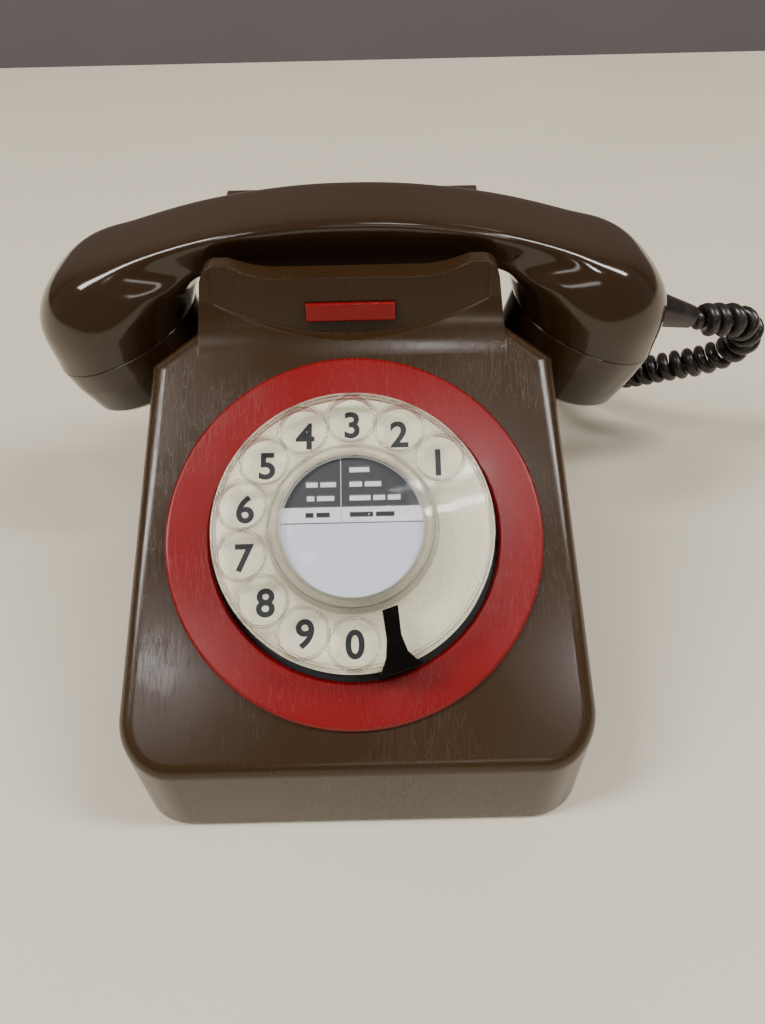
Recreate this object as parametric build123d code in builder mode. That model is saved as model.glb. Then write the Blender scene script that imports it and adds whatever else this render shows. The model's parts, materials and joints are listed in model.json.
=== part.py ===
"""Rotary desk telephone with a wedge-shaped case, a sprung dial and a lift-off handset.

Millimetres, +Z up. The dial faces -Y and the caller. The origin is on the desk, below the
middle of the case and handset.
"""
import os
from math import cos, pi, radians, sin, tan

from build123d import *

# ---------------------------------------------------------------- driving dimensions
WALL = 2.6                     # case moulding
GAP = 0.3                      # clearance between moving and fixed pieces
RUNNING = 0.05                 # radial clearance of a shaft in its hole

# case
CASE_BOTTOM = 2.5
PANEL_SLOPE = 32.0             # dial panel, degrees from the desk
FRONT_Y = -100.0
FRONT_Z = 33.0                 # where the panel's plane meets the front face
WALL_FOOT_Y = 7.6              # where the panel meets the cradle wall
HORN_Y = 11.5                  # front of the cradle horns
HORN_Z = 119.0                 # top of the cradle's front horns
REAR_HORN_Z = 116.5
CRADLE_BACK_Y = 72.0
REAR_Y = 98.0
FRONT_HALF_WIDTH = 66.0
SHOULDER = (60.3, 2.8)
CRADLE_HALF_WIDTH = 46.0
REAR_HALF_WIDTH = 57.0
LEDGE_Z = 66.0                 # ledges that the handset's ends hang over
HANDSET_Y = 39.5               # centre line of the handset and its cradle

SCOOP_FOOT_Z = 98.5
SCOOP_HALF_WIDTH = 41.0
BASE_LOW, BASE_HIGH = 2.9, 4.7
FRONT_SCREW_Y, REAR_SCREW_Y = -89.0, 81.5
FRONT_BOSS_TOP, REAR_BOSS_TOP = 37.0, 71.0
SCREW_R = 1.5
BAR_WIDTH, BAR_HEIGHT = 26.6, 5.4
BAR_LEAN = 12.2                # the cradle wall leans back from upright
GROMMET_R = 5.0
HANDSET_ENTRY_X, LINE_ENTRY_X, CORD_ENTRY_Z = 42.0, -30.0, 15.0

# dial, all heights measured from the panel along the dial's axis
DIAL_Y = -46.2                 # dial axis on the panel surface
PLATE_R = 38.1                 # three-inch finger plate
PLATE_LOW, PLATE_HIGH = 8.8, 11.8
HOLE_CIRCLE_R = 30.7
FINGER_HOLE_R = 6.3
HOLE_PITCH = 360 / 14          # fourteen steps to the turn
ZERO_HOLE = 270.0              # the last hole stands at the bottom
STOP_ANGLE = 287.4
STOP_WALL_R = 39.9
NUMBER_RING_LOW = 4.2
FRAME_LOW, FRAME_HIGH = -4.8, -3.0
FIXING_CIRCLE_R = 43.5
SPINDLE_R = 3.0
HUB_R = 4.0
HUB_LOW = 7.4
HUB_SCREW_CIRCLE_R = 7.5
BARREL_LOW = -34.0
SURROUND_R = 53.2
SURROUND_HOLE_R = 40.4
PANEL_HOLE_R = 41.2
CUP_R = 38.6                   # dial body that carries the number ring

# dial gear train
MAIN_TEETH = 44
PINION_TEETH = 11
MODULE = 1.0
PINION_ANGLE = 100.0
PINION_SHAFT_R = 1.5
PINION_DISTANCE = MODULE * (MAIN_TEETH + PINION_TEETH) / 2
REAR_PLATE_W = -26.0
WORM_WHEEL_R = 6.5
WORM_R = 2.6
GOVERNOR_AT = (PINION_DISTANCE * sin(radians(PINION_ANGLE)) - WORM_WHEEL_R - WORM_R - 0.4, -16.5)
POST_ANGLES = (65, 200, 320)
POST_CIRCLE_R = 31.0

# bell
BELL_X, BELL_Y = 25.5, 54.0
GONG_R = 20.0
GONG_TOP = 47.0
CLAPPER_PIVOT_Y = 26.0
COIL_X, COIL_Z, COIL_BACK_Y = 12.0, 38.0, 5.0

# gravity switch
PLUNGER_X = 30.0
PLUNGER_R = 3.0
BAR_Z = 88.0
ROCKER_Y, ROCKER_Z = 20.0, 84.5

# handset
HANDSET_TOP = 126.0
KEEL_Z = 108.4
BULB_X = 79.0
BULB_Z = 83.5
BULB_R = 26.5
BULB_TILT = 20.0               # the caps face inwards, towards mouth and ear
EAR_CAP_DEPTH, MOUTH_CAP_DEPTH = 19.5, 22.0
HANDSET_WALL = 3.0

# handset cord: a curly lead, drawn as the tube that its turns fill
CORD_R = 6.5
WIRE_R = 2.3
CORD_ROUTE = [
    (124, 55, 73), (131.35, 56.68, 70.33), (147.2, 58.5, 69), (155, 65, 55.5), (146, 71.5, 42.5),
    (131, 76, 36.5), (118.5, 83, 28), (109, 97, 17.5), (97, 115, 9.5), (80, 128, 7.5),
    (61, 132, 7.2), (47, 126, 9.5), (42, 113, 15), (42, 100, 15),
]


# ---------------------------------------------------------------- shared helpers
def panel_z(y):
    """Height of the dial panel's plane above the desk at a given y."""
    return FRONT_Z + (y - FRONT_Y) * tan(radians(PANEL_SLOPE))


def save(piece, name):
    """Label a finished piece and write it as its own STEP file."""
    piece.part.label = name
    export_step(piece.part, f"parts/{name}.step")


def polar(radius, angle):
    """Point on a circle, angle in degrees."""
    return radius * cos(radians(angle)), radius * sin(radians(angle))


PANEL_NORMAL = Vector(0, -sin(radians(PANEL_SLOPE)), cos(radians(PANEL_SLOPE)))
DIAL = Plane(origin=(0, DIAL_Y, panel_z(DIAL_Y)), x_dir=(1, 0, 0), z_dir=PANEL_NORMAL)
PINION_AT = polar(PINION_DISTANCE, PINION_ANGLE)
BAR_PLANE = Plane(origin=(0, 8.9, 105.2), x_dir=(1, 0, 0),
                  z_dir=(0, -cos(radians(BAR_LEAN)), sin(radians(BAR_LEAN))))

os.makedirs("parts", exist_ok=True)


# ---------------------------------------------------------------- case
def wedge_form(inset):
    """Wedge under the dial panel, with rounded corners, shoulders and waist."""
    bottom = CASE_BOTTOM if inset == 0 else CASE_BOTTOM - 2 * WALL
    back = WALL_FOOT_Y + 12
    with BuildPart() as form:
        with BuildSketch(Plane.XY.offset(bottom)) as outline:
            right = [(FRONT_HALF_WIDTH, FRONT_Y), SHOULDER,
                     (CRADLE_HALF_WIDTH, WALL_FOOT_Y + 5), (CRADLE_HALF_WIDTH, back)]
            Polygon(*right, *[(-x, y) for x, y in reversed(right)], align=None)
            corners = outline.vertices().group_by(Axis.Y)
            fillet(corners[0], radius=15)
            fillet(corners[1] + corners[2], radius=8)
            if inset:
                offset(amount=-inset, kind=Kind.INTERSECTION)
        extrude(amount=HANDSET_TOP)
        with BuildSketch(Plane.YZ.offset(-80)):
            below = panel_z(-120) - inset / cos(radians(PANEL_SLOPE))
            above = panel_z(back) - inset / cos(radians(PANEL_SLOPE))
            Polygon((-120, bottom), (-120, below), (back, above), (back, bottom), align=None)
        extrude(amount=160, mode=Mode.INTERSECT)
        if not inset:
            panel = form.faces().sort_by(Axis((0, 0, 0), tuple(PANEL_NORMAL)))[-1]
            fillet(panel.edges().filter_by(lambda edge: edge.center().Y < back - 0.1), radius=5)
    return form.part


def rear_form(inset):
    """Low rear body, whose ledges pass below the handset's ends."""
    bottom = CASE_BOTTOM if inset == 0 else CASE_BOTTOM - 2 * WALL
    with BuildPart() as form:
        with BuildSketch(Plane.XY.offset(bottom)) as outline:
            Polygon((-62.3, -30), (-REAR_HALF_WIDTH, REAR_Y), (REAR_HALF_WIDTH, REAR_Y), (62.3, -30),
                    align=None)
            fillet(outline.vertices().group_by(Axis.Y)[-1], radius=12)
            if inset:
                offset(amount=-inset, kind=Kind.INTERSECTION)
        extrude(amount=HANDSET_TOP)
        with BuildSketch(Plane.YZ.offset(-80)):
            Polygon((-30, bottom - 1), (-30, LEDGE_Z + 4.8), (94, LEDGE_Z - 15), (REAR_Y, bottom - 1),
                    align=None)
            if inset:
                offset(amount=-inset, kind=Kind.INTERSECTION)
        extrude(amount=160, mode=Mode.INTERSECT)
        if not inset:
            ledge = form.faces().sort_by(Axis.Z)[-1]
            fillet(ledge.edges().filter_by(lambda edge: edge.center().Y > 0), radius=5)
    return form.part


def cradle_form(inset):
    """Upper block that carries the handset, with a sloping wall behind the dial panel."""
    with BuildPart() as form:
        with BuildSketch(Plane.YZ.offset(-60)) as side:
            Polygon((92, 40), (-30, 40), (-30, panel_z(-30)), (WALL_FOOT_Y, panel_z(WALL_FOOT_Y)),
                    (HORN_Y, HORN_Z), (CRADLE_BACK_Y, REAR_HORN_Z), (92, LEDGE_Z - 14.7), align=None)
            if inset:
                offset(amount=-inset, kind=Kind.INTERSECTION)
            else:
                foot = side.vertices().sort_by_distance((WALL_FOOT_Y, panel_z(WALL_FOOT_Y)))[0]
                fillet(foot, radius=21)
                fillet(side.vertices().sort_by(Axis.Y)[-2:], radius=1.5)
        extrude(amount=120)
        with BuildSketch(Plane.XZ.offset(-100)) as front:
            Polygon((-47.5, 30), (-CRADLE_HALF_WIDTH, 100), (-43, HORN_Z), (43, HORN_Z),
                    (CRADLE_HALF_WIDTH, 100), (47.5, 30), align=None)
            if inset:
                offset(amount=-inset, kind=Kind.INTERSECTION)
            else:
                fillet(front.vertices().group_by(Axis.Y)[-1], radius=6)
        extrude(amount=200, mode=Mode.INTERSECT)
    return form.part


def handset_trough(grow):
    """Channel across the cradle that the handle lies in, and the dip between the horns."""
    with BuildPart() as trough:
        with BuildSketch(Plane.YZ.offset(-60)):
            Polygon((HANDSET_Y - 23.5, HORN_Z + 3), (HANDSET_Y - 18, KEEL_Z - 0.4),
                    (HANDSET_Y + 18, KEEL_Z - 0.4), (HANDSET_Y + 23.5, HORN_Z + 3), align=None)
            if grow:
                offset(amount=grow, kind=Kind.INTERSECTION)
        extrude(amount=120)
        with BuildSketch(Plane.XY.offset(KEEL_Z - 4 - grow)):
            with Locations((0, HANDSET_Y)):
                Rectangle(74 + 2 * grow, 26 + 2 * grow)
        extrude(amount=8)
        with BuildSketch(Plane.XZ.offset(-85)) as dip:
            dip_z = HORN_Z - 4.2 - grow
            Polygon((-40 - grow, HORN_Z + 2), (-27, dip_z), (27, dip_z), (40 + grow, HORN_Z + 2), align=None)
            fillet(dip.vertices().group_by(Axis.Y)[0], radius=25)
        extrude(amount=90)
    return trough.part


def finger_recess(grow):
    """Pocket below the cradle's rear horns, for lifting the telephone with one hand."""
    with BuildPart() as recess:
        with BuildSketch(Plane.XY.offset(72 - grow)) as opening:
            with Locations((0, 90)):
                Rectangle(66 + 2 * grow, 60 + 2 * grow)
            fillet(opening.vertices().group_by(Axis.Y)[0], radius=8)
        extrude(amount=24 + 2 * grow)
    return recess.part


def case_hollow():
    """Everything inside the case's walls, open at the bottom."""
    with BuildPart() as hollow:
        add(wedge_form(WALL))
        add(rear_form(WALL))
        add(cradle_form(WALL))
        add(handset_trough(WALL), mode=Mode.SUBTRACT)
        add(finger_recess(WALL), mode=Mode.SUBTRACT)
    return hollow.part


def wall_scoop():
    """Slab in front of the cradle wall, cut off below along an arc between the horns."""
    arc_r = 90
    with BuildPart() as slab:
        with BuildSketch(Plane.XZ.offset(-HORN_Y - 10)):
            with Locations((0, SCOOP_FOOT_Z + arc_r)):
                Circle(arc_r)
                Rectangle(2 * SCOOP_HALF_WIDTH, 2 * arc_r, mode=Mode.INTERSECT)
        extrude(amount=40)
        with BuildSketch(Plane.YZ.offset(-60)):
            Polygon((-20, 90), (WALL_FOOT_Y - 2, 90), (HORN_Y + 0.6, HORN_Z + 1), (-20, HORN_Z + 1),
                    align=None)
        extrude(amount=120, mode=Mode.INTERSECT)
    return slab.part


with BuildPart() as case:
    add(wedge_form(0))
    add(rear_form(0))
    add(cradle_form(0))
    add(wall_scoop(), mode=Mode.SUBTRACT)
    add(handset_trough(0), mode=Mode.SUBTRACT)
    add(finger_recess(0), mode=Mode.SUBTRACT)
    add(case_hollow(), mode=Mode.SUBTRACT)
    # bosses for the two case screws
    for boss_y, boss_top in ((FRONT_SCREW_Y, FRONT_BOSS_TOP), (REAR_SCREW_Y, REAR_BOSS_TOP)):
        with BuildSketch(Plane.XY.offset(BASE_HIGH + 0.1)):
            with Locations((0, boss_y)):
                Circle(4)
                Circle(SCREW_R + RUNNING, mode=Mode.SUBTRACT)
        extrude(amount=boss_top - BASE_HIGH)
    # dial opening and the blind holes of its three fixing screws
    with BuildSketch(DIAL.offset(-WALL - 2)):
        Circle(PANEL_HOLE_R)
    extrude(amount=WALL + 4, mode=Mode.SUBTRACT)
    with BuildSketch(DIAL.offset(-WALL - 0.5)):
        with PolarLocations(FIXING_CIRCLE_R, 3, start_angle=45):
            Circle(SCREW_R + RUNNING)
    extrude(amount=WALL - 0.4, mode=Mode.SUBTRACT)
    # plunger holes through the trough floor
    with BuildSketch(Plane.XY.offset(KEEL_Z - 10)):
        with GridLocations(2 * PLUNGER_X, 1, 2, 1):
            with Locations((0, HANDSET_Y)):
                Circle(PLUNGER_R + GAP)
    extrude(amount=12, mode=Mode.SUBTRACT)
    # slot for the coloured label bar
    with BuildSketch(BAR_PLANE.offset(-1.0)):
        Rectangle(BAR_WIDTH + 0.2, BAR_HEIGHT + 0.2)
    extrude(amount=3, mode=Mode.SUBTRACT)
    # cord holes in the rear face
    with BuildSketch(Plane.XZ.offset(-REAR_Y - 4)):
        with Locations((HANDSET_ENTRY_X, CORD_ENTRY_Z), (LINE_ENTRY_X, CORD_ENTRY_Z)):
            Circle(GROMMET_R + RUNNING)
    extrude(amount=12, mode=Mode.SUBTRACT)
save(case, "case")

with BuildPart() as base_plate:
    with BuildSketch(Plane.XY.offset(BASE_LOW)) as base_outline:
        Polygon((-FRONT_HALF_WIDTH, FRONT_Y), (FRONT_HALF_WIDTH, FRONT_Y), (REAR_HALF_WIDTH, REAR_Y),
                (-REAR_HALF_WIDTH, REAR_Y), align=None)
        fillet(base_outline.vertices().group_by(Axis.Y)[0], radius=15)
        fillet(base_outline.vertices().group_by(Axis.Y)[-1], radius=12)
        offset(amount=-WALL - 1.0, kind=Kind.INTERSECTION)
        with Locations((0, FRONT_SCREW_Y), (0, REAR_SCREW_Y)):
            Circle(SCREW_R + RUNNING, mode=Mode.SUBTRACT)
        with Locations((0, 5)):
            SlotOverall(60, 5, mode=Mode.SUBTRACT)
    extrude(amount=BASE_HIGH - BASE_LOW)
save(base_plate, "base_plate")

with BuildPart() as rubber_feet:
    with BuildSketch():
        with Locations((-48, -80), (48, -80), (-42, 80), (42, 80)):
            Circle(7)
    extrude(amount=BASE_LOW)
    chamfer(rubber_feet.edges().group_by(Axis.Z)[0], length=0.6)
save(rubber_feet, "rubber_feet")

with BuildPart() as case_screws:
    with BuildSketch(Plane.XY.offset(BASE_LOW - 2)):
        with Locations((0, FRONT_SCREW_Y), (0, REAR_SCREW_Y)):
            Circle(3.2)
            Rectangle(4.4, 0.8, mode=Mode.SUBTRACT)
    extrude(amount=1)
    with BuildSketch(Plane.XY.offset(BASE_LOW - 1)):
        with Locations((0, FRONT_SCREW_Y), (0, REAR_SCREW_Y)):
            Circle(3.2)
    extrude(amount=1)
    with BuildSketch(Plane.XY.offset(BASE_LOW)):
        with Locations((0, FRONT_SCREW_Y), (0, REAR_SCREW_Y)):
            Circle(SCREW_R)
    extrude(amount=20)
save(case_screws, "case_screws")

with BuildPart() as label_bar:
    with BuildSketch(BAR_PLANE.offset(-1.0)):
        Rectangle(BAR_WIDTH, BAR_HEIGHT)
    extrude(amount=2.4)
    fillet(label_bar.faces().sort_by(Axis((0, 0, 0), tuple(BAR_PLANE.z_dir)))[-1].edges(), radius=0.4)
save(label_bar, "label_bar")


# ---------------------------------------------------------------- dial, fixed pieces
def turned_on_dial(points, name):
    """Revolve (radius, height) points about the dial's axis and save the piece."""
    side = Plane(origin=DIAL.origin, x_dir=(1, 0, 0), z_dir=-DIAL.y_dir)
    with BuildPart() as turned:
        with BuildSketch(side):
            Polygon(*points, align=None)
        revolve(axis=Axis(DIAL.origin, DIAL.z_dir))
    save(turned, name)


def dial_pillars(low, high, radius, at=((0, 0),)):
    """Round pillars that stand along the dial's axis."""
    with BuildPart() as pillars:
        with BuildSketch(DIAL.offset(low)):
            with Locations(*at):
                Circle(radius)
        extrude(amount=high - low)
    return pillars.part


turned_on_dial([(SURROUND_HOLE_R, -2.0), (PANEL_HOLE_R - 0.2, -2.0), (PANEL_HOLE_R - 0.2, 0.0),
                (SURROUND_R, 0.0), (SURROUND_R, 1.2), (SURROUND_R - 0.8, 2.0),
                (SURROUND_HOLE_R + 0.8, 2.0), (SURROUND_HOLE_R, 1.2)], "dial_surround")

with BuildPart() as dial_frame:
    with BuildSketch(DIAL.offset(FRAME_LOW)):
        Circle(FIXING_CIRCLE_R + 2.8)
        Circle(5 + RUNNING, mode=Mode.SUBTRACT)
        with Locations(PINION_AT):
            Circle(PINION_SHAFT_R + RUNNING, mode=Mode.SUBTRACT)
        with PolarLocations(FIXING_CIRCLE_R, 3, start_angle=45):
            Circle(SCREW_R + RUNNING, mode=Mode.SUBTRACT)
    extrude(amount=FRAME_HIGH - FRAME_LOW)
    with BuildSketch(DIAL.offset(FRAME_HIGH)):
        Circle(CUP_R)
        Circle(CUP_R - 1.8, mode=Mode.SUBTRACT)
    extrude(amount=NUMBER_RING_LOW - FRAME_HIGH)
save(dial_frame, "dial_frame")

with BuildPart() as dial_screws:
    with BuildSketch(DIAL.offset(FRAME_LOW - 1.6)):
        with PolarLocations(FIXING_CIRCLE_R, 3, start_angle=45):
            Circle(2.6)
    extrude(amount=1.6)
    with BuildSketch(DIAL.offset(FRAME_LOW)):
        with PolarLocations(FIXING_CIRCLE_R, 3, start_angle=45):
            Circle(SCREW_R)
    extrude(amount=-FRAME_LOW - 1.0)
save(dial_screws, "dial_screws")

turned_on_dial([(15, NUMBER_RING_LOW), (38.5, NUMBER_RING_LOW), (38.5, NUMBER_RING_LOW + 1.2),
                (15, NUMBER_RING_LOW + 1.2)], "number_ring")

turned_on_dial([(SPINDLE_R + RUNNING, FRAME_LOW - 1.5), (7, FRAME_LOW - 1.5), (7, FRAME_LOW),
                (5, FRAME_LOW), (5, FRAME_HIGH + 2), (SPINDLE_R + RUNNING, FRAME_HIGH + 2)], "dial_bush")

with BuildPart() as finger_stop:
    outwards = DIAL.x_dir * cos(radians(STOP_ANGLE)) + DIAL.y_dir * sin(radians(STOP_ANGLE))
    stop_plane = Plane(origin=DIAL.origin, x_dir=outwards, z_dir=DIAL.z_dir)
    with BuildSketch(stop_plane.offset(PLATE_HIGH + 0.6)):
        Polygon((23.6, 0.4), (31, -0.9), (35.5, -2.6), (STOP_WALL_R, -6), (STOP_WALL_R, 6), (35.5, 3.4),
                (31, 3.1), (23.6, 4.7), align=None)
    extrude(amount=1.2)
    with BuildSketch(stop_plane.offset(FRAME_HIGH)):
        with Locations(((STOP_WALL_R + 38.9) / 2, 0)):
            Rectangle(STOP_WALL_R - 38.9, 12)
    extrude(amount=PLATE_HIGH + 1.8 - FRAME_HIGH)
save(finger_stop, "finger_stop")

with BuildPart() as rear_plate:
    with BuildSketch(DIAL.offset(REAR_PLATE_W)):
        Circle(34)
        Circle(SPINDLE_R + RUNNING, mode=Mode.SUBTRACT)
        with Locations(PINION_AT):
            Circle(PINION_SHAFT_R + RUNNING, mode=Mode.SUBTRACT)
    extrude(amount=1.5)
save(rear_plate, "rear_plate")

with BuildPart() as dial_posts:
    add(dial_pillars(REAR_PLATE_W + 1.5, FRAME_LOW, 2.5,
                     [polar(POST_CIRCLE_R, angle) for angle in POST_ANGLES]))
save(dial_posts, "dial_posts")

turned_on_dial([(SPINDLE_R + 0.6, BARREL_LOW), (15, BARREL_LOW), (15, REAR_PLATE_W), (14, REAR_PLATE_W),
                (14, BARREL_LOW + 1), (SPINDLE_R + 0.6, BARREL_LOW + 1)], "spring_barrel")

with BuildPart() as mainspring:
    with BuildSketch(DIAL.offset(BARREL_LOW + 1.6)):
        for turn in range(5):
            ring_r = 5.5 + 1.8 * turn
            Circle(ring_r + 0.4)
            Circle(ring_r - 0.4, mode=Mode.SUBTRACT)
        Rectangle(1.2, 26, mode=Mode.ADD)
        Circle(5.1, mode=Mode.SUBTRACT)
    extrude(amount=4.6)
save(mainspring, "mainspring")

with BuildPart() as governor_bracket:
    with BuildSketch(DIAL.offset(REAR_PLATE_W + 1.5)):
        with Locations((0, GOVERNOR_AT[0])):
            Rectangle(48, 7)
    extrude(amount=1.2)
    for upright_x in (-23.4, 22.2):
        with BuildSketch(DIAL.offset(REAR_PLATE_W + 2.7)):
            with Locations((upright_x + 0.6, GOVERNOR_AT[0])):
                Rectangle(1.2, 7)
        extrude(amount=GOVERNOR_AT[1] + 3 - REAR_PLATE_W - 2.7)
    with BuildSketch(Plane(DIAL.from_local_coords((-30, GOVERNOR_AT[0], GOVERNOR_AT[1])), x_dir=DIAL.y_dir,
                           z_dir=DIAL.x_dir)):
        Circle(0.8 + RUNNING)
    extrude(amount=60, mode=Mode.SUBTRACT)
save(governor_bracket, "governor_bracket")

GOVERNOR = Plane(DIAL.from_local_coords((0, GOVERNOR_AT[0], GOVERNOR_AT[1])), x_dir=DIAL.y_dir,
                 z_dir=DIAL.x_dir)
with BuildPart() as governor_cup:
    with BuildSketch(GOVERNOR.offset(21)):
        Circle(6.3)
        Circle(1.6, mode=Mode.SUBTRACT)
    extrude(amount=1.1)
    with BuildSketch(GOVERNOR.offset(11)):
        Circle(6.3)
        Circle(5.5, mode=Mode.SUBTRACT)
    extrude(amount=10)
save(governor_cup, "governor_cup")

with BuildPart() as pulse_springs:
    with BuildSketch(DIAL.offset(REAR_PLATE_W + 1.5)):
        with Locations((-28, 26)):
            Rectangle(7, 8)
    extrude(amount=13.6)
    for leaf_w in (-12.2, -13.8, -14.8):
        with BuildSketch(DIAL.offset(leaf_w)):
            with Locations((-18.6, 26)):
                Rectangle(12.6, 4)
        extrude(amount=0.4)
save(pulse_springs, "pulse_springs")


# ---------------------------------------------------------------- dial, turning pieces
def gear_sketch(teeth, tip_share=0.30, phase=0.0):
    """Spur gear outline with straight-sided, slightly narrow teeth."""
    pitch_r = MODULE * teeth / 2
    root_r, tip_r = pitch_r - 1.25 * MODULE, pitch_r + 0.9 * MODULE
    step = 360 / teeth
    points = []
    for tooth in range(teeth):
        middle = phase + tooth * step
        for radius, share in ((root_r, -0.52), (tip_r, -tip_share), (tip_r, tip_share), (root_r, 0.52)):
            points.append(polar(radius, middle + share * step / 2))
    Polygon(*points, align=None)


with BuildPart() as finger_plate:
    with BuildSketch(DIAL.offset(PLATE_LOW)):
        Circle(PLATE_R)
        Circle(HUB_R, mode=Mode.SUBTRACT)
        with PolarLocations(HUB_SCREW_CIRCLE_R, 3):
            Circle(1.3, mode=Mode.SUBTRACT)
        for step in range(10):
            with Locations(polar(HOLE_CIRCLE_R, ZERO_HOLE - step * HOLE_PITCH)):
                Circle(FINGER_HOLE_R, mode=Mode.SUBTRACT)
    extrude(amount=PLATE_HIGH - PLATE_LOW)
    chamfer(finger_plate.faces().sort_by(Axis((0, 0, 0), tuple(PANEL_NORMAL)))[-1].edges(), length=0.35)
save(finger_plate, "finger_plate")

turned_on_dial([(12, PLATE_HIGH), (23.0, PLATE_HIGH), (21.6, 15.0), (19.2, 15.0), (19.2, 12.7), (12, 12.7)],
               "label_ring")
turned_on_dial([(0, 12.8), (19.0, 12.8), (19.0, 13.1), (0, 13.1)], "label_card")
turned_on_dial([(0, 13.2), (19.0, 13.2), (19.0, 15.0), (16, 16.0), (11, 16.7), (5, 17.0), (0, 17.1)],
               "label_cover")

with BuildPart() as hub_screws:
    with BuildSketch(DIAL.offset(PLATE_HIGH)):
        with PolarLocations(HUB_SCREW_CIRCLE_R, 3):
            Circle(1.9)
    extrude(amount=0.8)
    with BuildSketch(DIAL.offset(HUB_LOW)):
        with PolarLocations(HUB_SCREW_CIRCLE_R, 3):
            Circle(1.2)
    extrude(amount=PLATE_HIGH - HUB_LOW)
save(hub_screws, "hub_screws")

with BuildPart() as dial_spindle:
    add(dial_pillars(BARREL_LOW - 1, PLATE_LOW, SPINDLE_R))
    add(dial_pillars(PLATE_LOW, PLATE_HIGH, HUB_R - RUNNING))
    with BuildSketch(DIAL.offset(HUB_LOW)):
        Circle(11)
        with PolarLocations(HUB_SCREW_CIRCLE_R, 3):
            Circle(1.2 + RUNNING, mode=Mode.SUBTRACT)
    extrude(amount=PLATE_LOW - HUB_LOW)
save(dial_spindle, "dial_spindle")

with BuildPart() as main_gear:
    with BuildSketch(DIAL.offset(-9.6)):
        gear_sketch(MAIN_TEETH, phase=PINION_ANGLE)
        Circle(SPINDLE_R, mode=Mode.SUBTRACT)
        with PolarLocations(12, 4):
            Circle(4, mode=Mode.SUBTRACT)
    extrude(amount=2)
save(main_gear, "main_gear")

with BuildPart() as pinion:
    with BuildSketch(DIAL.offset(-10.0)):
        with Locations(PINION_AT):
            gear_sketch(PINION_TEETH, phase=PINION_ANGLE + 180 + 180 / PINION_TEETH)
    extrude(amount=2.8)
    add(dial_pillars(REAR_PLATE_W - 1, FRAME_HIGH + 1, PINION_SHAFT_R, [PINION_AT]))
save(pinion, "pinion")

with BuildPart() as impulse_cam:
    with BuildSketch(DIAL.offset(-13.0)):
        with Locations(PINION_AT):
            Circle(5)
            Circle(PINION_SHAFT_R, mode=Mode.SUBTRACT)
        with Locations([(PINION_AT[0] + x, PINION_AT[1] + y) for x, y in (polar(4.4, 90), polar(4.4, 270))]):
            Circle(2)
    extrude(amount=1.4)
save(impulse_cam, "impulse_cam")

with BuildPart() as worm_wheel:
    wheel_teeth = 24
    with BuildSketch(DIAL.offset(GOVERNOR_AT[1] - 1.5)):
        with Locations(PINION_AT):
            Circle(WORM_WHEEL_R)
            Circle(PINION_SHAFT_R, mode=Mode.SUBTRACT)
        with Locations([(PINION_AT[0] + x, PINION_AT[1] + y) for x, y in
                        (polar(WORM_WHEEL_R, 360 / wheel_teeth * tooth) for tooth in range(wheel_teeth))]):
            Circle(0.4, mode=Mode.SUBTRACT)
    extrude(amount=3)
save(worm_wheel, "worm_wheel")

with BuildPart() as governor_worm:
    with BuildSketch(GOVERNOR.offset(-24.2)):
        Circle(0.8)
    extrude(amount=47.4)
    with BuildSketch(GOVERNOR.offset(PINION_AT[0] - 5)):
        Circle(WORM_R - 0.8)
    extrude(amount=10)
    for thread in range(6):
        with BuildSketch(GOVERNOR.offset(PINION_AT[0] - 4.6 + 1.6 * thread)):
            Circle(WORM_R)
        extrude(amount=0.9)
save(governor_worm, "governor_worm")

with BuildPart() as governor_weights:
    with BuildSketch(GOVERNOR.offset(12)):
        Circle(1.8)
        for side in (-1, 1):
            with Locations((side * 3.2, 0)):
                Rectangle(3.2, 2.4)
        Circle(0.8, mode=Mode.SUBTRACT)
    extrude(amount=6)
save(governor_weights, "governor_weights")


# ---------------------------------------------------------------- bell
with BuildPart() as bell_bracket:
    with BuildSketch(Plane.XY.offset(BASE_HIGH)):
        with Locations((0, 38)):
            RectangleRounded(73, 52, 6)
    extrude(amount=1.6)
    with BuildSketch(Plane.XY.offset(BASE_HIGH + 1.6)):
        with Locations((-BELL_X, BELL_Y), (BELL_X, BELL_Y)):
            Circle(3)
    extrude(amount=GONG_TOP - 1.45 - BASE_HIGH - 1.6)
    with BuildSketch(Plane.XY.offset(BASE_HIGH + 1.6)):
        with Locations((0, CLAPPER_PIVOT_Y)):
            Rectangle(8, 8)
    extrude(amount=20)
    with BuildSketch(Plane.XY.offset(BASE_HIGH + 21.6)):
        with Locations((0, CLAPPER_PIVOT_Y)):
            Circle(1.2)
    extrude(amount=14)
    with BuildSketch(Plane.XY.offset(GONG_TOP - 16)):
        with Locations((-BELL_X, BELL_Y), (BELL_X, BELL_Y)):
            Circle(SCREW_R + RUNNING)
    extrude(amount=20, mode=Mode.SUBTRACT)
save(bell_bracket, "bell_bracket")

for name, gong_x in (("gong_left", -BELL_X), ("gong_right", BELL_X)):
    with BuildPart() as gong:
        with BuildSketch(Plane.XZ.offset(-BELL_Y)):
            with BuildLine():
                outer = ThreePointArc((gong_x, GONG_TOP), (gong_x + 12, GONG_TOP - 3.58),
                                      (gong_x + GONG_R, GONG_TOP - 13))
                rim = Line(outer @ 1, (gong_x + GONG_R - 1.3, GONG_TOP - 13))
                inner = ThreePointArc(rim @ 1, (gong_x + 11, GONG_TOP - 4.36), (gong_x, GONG_TOP - 1.2))
                Line(inner @ 1, outer @ 0)
            make_face()
        revolve(axis=Axis((gong_x, BELL_Y, 0), (0, 0, 1)))
        with BuildSketch(Plane.XY.offset(GONG_TOP - 4)):
            with Locations((gong_x, BELL_Y)):
                Circle(SCREW_R + RUNNING)
        extrude(amount=8, mode=Mode.SUBTRACT)
    save(gong, name)

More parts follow.
